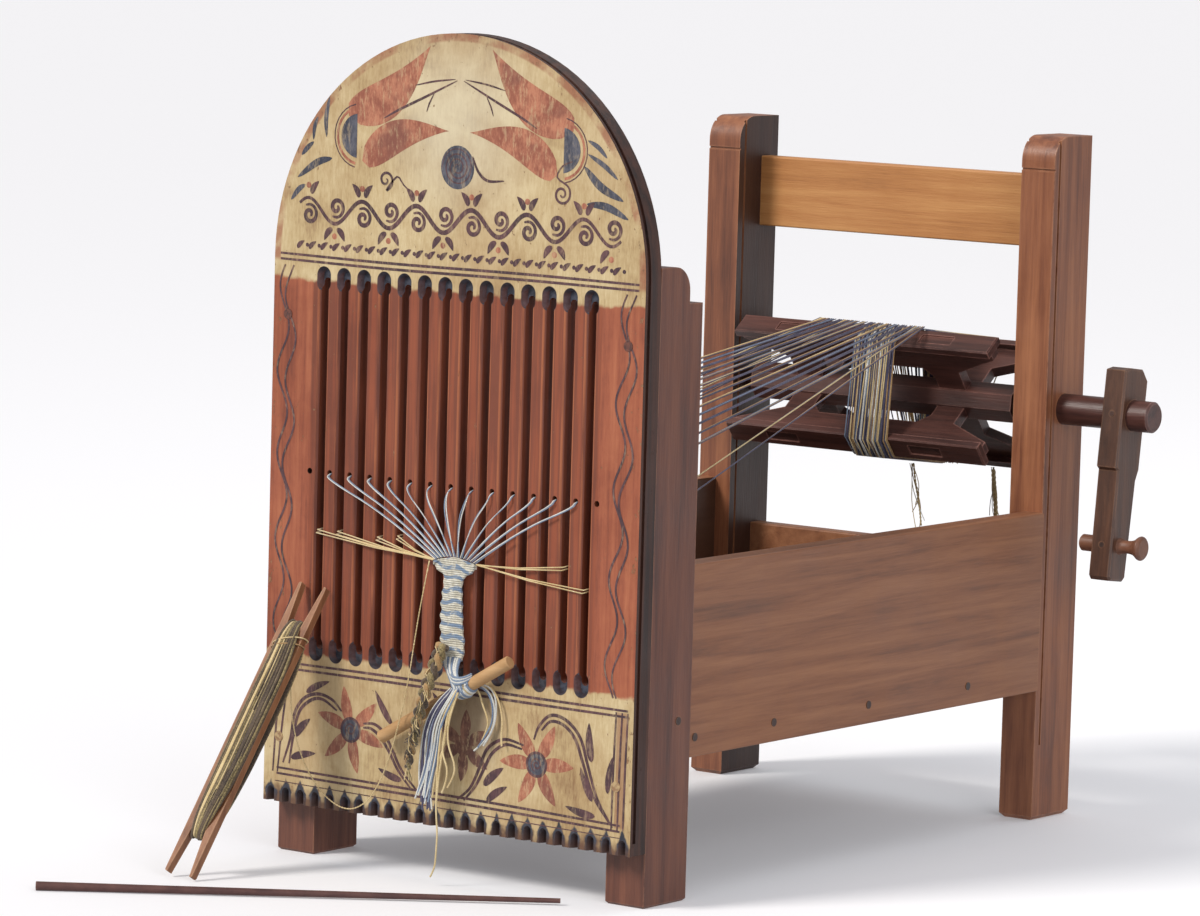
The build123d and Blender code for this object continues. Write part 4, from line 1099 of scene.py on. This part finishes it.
def build_braid():
    """Three fat strands plaited along the smooth line of the route, each in its own tone."""
    line = line_of([at(*point) for point in BRAID], 24)
    shape = bmesh.new()
    for strand in range(3):
        places, sizes, run = [], [], 0
        made = len(shape.faces)
        for index, (place, side, over) in enumerate(frames_along(line)):
            if index:
                run += (line[index] - line[index - 1]).length
            taper = 1 - 0.4 * (run / BRAID_LENGTH) ** 2
            angle = 2 * pi * (run / 0.015 + strand / 3)
            sway, lift = 0.00245 * sin(angle), 0.00105 * sin(2 * angle)
            places.append(place + taper * (sway * side + lift * over))
            sizes.append(taper * (0.0017 + 0.00025 * sin(3 * angle)))
        add_tube(shape, places, sizes, 10)
        shape.faces.ensure_lookup_table()
        for face in shape.faces[made:]:
            face.material_index = strand
    piece = linked("braid", mesh_from("braid", shape), LOOKS["olive"], "frame")
    piece.data.materials.append(LOOKS["brown"])
    piece.data.materials.append(LOOKS["tan"])
    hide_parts("braided_strand")
    return piece, line


def in_loom(place):
    """The loom's millimetres of a point in the row frame."""
    return place * 1000 - Vector((MIDDLE_X, FRONT_Y, 0))


braid, braid_line = build_braid()
hairs = Strands("braid_hair", 0.00024, "frame", "marled_yarn")
for hair in range(44):
    start = in_loom(braid_line[int(rng.random() * (len(braid_line) - 2))])
    hairs.add(("olive", "cream", "brown")[hair % 3], [
        start + Vector((jitter(2.6), -2.4, 0)), start + Vector((jitter(4), -3.2 + jitter(0.4), -3)),
        start + Vector((jitter(4.8), -2.6, -6 + jitter(1.5))),
    ])
end = in_loom(braid_line[-1])
for hair in range(10):
    hairs.add("cream" if hair % 2 else "olive", [
        end + Vector((jitter(1), jitter(0.8), 2)), end + Vector((jitter(1.6), jitter(1), -1.5)),
        end + Vector((jitter(2.2), jitter(1.2), -5 + jitter(1.5))),
    ])
hair_pieces = hairs.finish()

# ---- yarn on the shuttle
FOOT, HEAD = Vector((-94.3, -85.6, 2)), Vector((-81.5, -2.9, 138))
blade = (HEAD - FOOT).normalized()
blade_across = (Vector((1, 0, 0)) - blade * blade.x).normalized()
blade_out = blade_across.cross(blade)
blade_middle = (HEAD + FOOT) / 2


def yarn_colour(share, turn):
    """Dark yarn with two pale stripes left of its middle. share runs from -1 to 1 across the shuttle."""
    if -0.76 < share < -0.44 or -0.24 < share < -0.06:
        return "tan" if turn % 3 == 0 else "cream"
    if share < 0.3:
        return "brown" if turn % 2 else "olive"
    return "olive" if turn % 5 == 0 else "brown"


yarn = Strands("shuttle_turns", 0.00066, "shuttle", "marled_yarn", cyclic=True)
for turn in range(60):
    layer = turn % 3
    share = ((turn * 0.618) % 1 - 0.5) * 2
    lane = 3.5 * share
    bow = 0.35 + 0.75 * layer
    half = 56.6 + 1.5 * layer + jitter(1.2)
    belly = 2.6 + (7.3 - 0.6 * layer) * share
    sides = (
        (-1, 0, lane), (-0.95, 2, lane * 1.05), (-0.8, 2.8 + bow, 0.55 * lane + 0.5 * belly),
        (-0.42, 3.1 + bow, belly + jitter(0.6)), (0.1, 3.3 + bow, belly * 1.02 + jitter(0.6)),
        (0.55, 3.2 + bow, belly + jitter(0.5)), (0.84, 3 + bow, 0.45 * lane + 0.6 * belly),
        (0.96, 2.2, lane * 1.1),
    )
    route = [*sides, (1, 0, lane), *((reach, -out, wide) for reach, out, wide in sides[:0:-1])]
    yarn.add(yarn_colour(share, turn), [
        blade_middle + blade * (half * reach) + blade_out * out + blade_across * wide
        for reach, out, wide in route
    ])
yarn.finish(["shuttle_yarn"])
wraps = Strands("shuttle_hitch", 0.00036, "shuttle", "marled_yarn")
for turn in range(2):
    height = 45.5 + 3 * turn
    ring = []
    for corner in range(13):
        angle = radians(30 * corner - 20)
        along_blade = blade * (height + (2.4 + turn) * cos(angle))
        across_blade = blade_across * (0.9 + 9.4 * cos(angle))
        ring.append(blade_middle + along_blade + across_blade + blade_out * (5.6 * sin(angle)))
    wraps.add("cream" if turn else "tan", ring)
wraps.finish()

# ---- studio
floor_data = bpy.data.meshes.new("floor")
floor_data.from_pydata([(-60, -60, 0), (60, -60, 0), (60, 60, 0), (-60, 60, 0)], [], [(0, 1, 2, 3)])
floor = bpy.data.objects.new("floor", floor_data)
scene.collection.objects.link(floor)
floor_paper = Look("floor_paper", 0.75)
floor_paper.shader.inputs["Emission Color"].default_value = (0.95, 0.96, 1, 1)
floor_paper.shader.inputs["Emission Strength"].default_value = 0.14
floor_data.materials.append(floor_paper.finish((0.8, 0.8, 0.825, 1)))
floor.visible_diffuse = False

world = bpy.data.worlds.new("studio")
world.use_nodes = True
world.node_tree.nodes["Background"].inputs["Color"].default_value = (0.93, 0.94, 0.97, 1)
world.node_tree.nodes["Background"].inputs["Strength"].default_value = 0.52
scene.world = world


def lamp(name, data, aim):
    """A lamp whose light goes along aim."""
    made = bpy.data.objects.new(name, data)
    made.rotation_mode = "QUATERNION"
    made.rotation_quaternion = Vector(aim).to_track_quat("-Z", "Y")
    scene.collection.objects.link(made)
    return made


sun = bpy.data.lights.new("key", "SUN")
sun.energy, sun.angle, sun.color = 2.5, radians(16), (1, 0.96, 0.9)
lamp("key", sun, (0.95, 1.9, -1.75))
for name, place, aim, size, power, colour in (
    ("fill", (2.4, -1.2, 1.2), (0, 0, 0.2), 1.6, 26, (0.97, 0.98, 1)),
    ("over", (0.3, 1.2, 2.2), (0, 0.1, 0.2), 1.4, 10, (1, 1, 1)),
):
    area = bpy.data.lights.new(name, "AREA")
    area.size, area.energy, area.color = size, power, colour
    lamp(name, area, Vector(aim) - Vector(place)).location = place
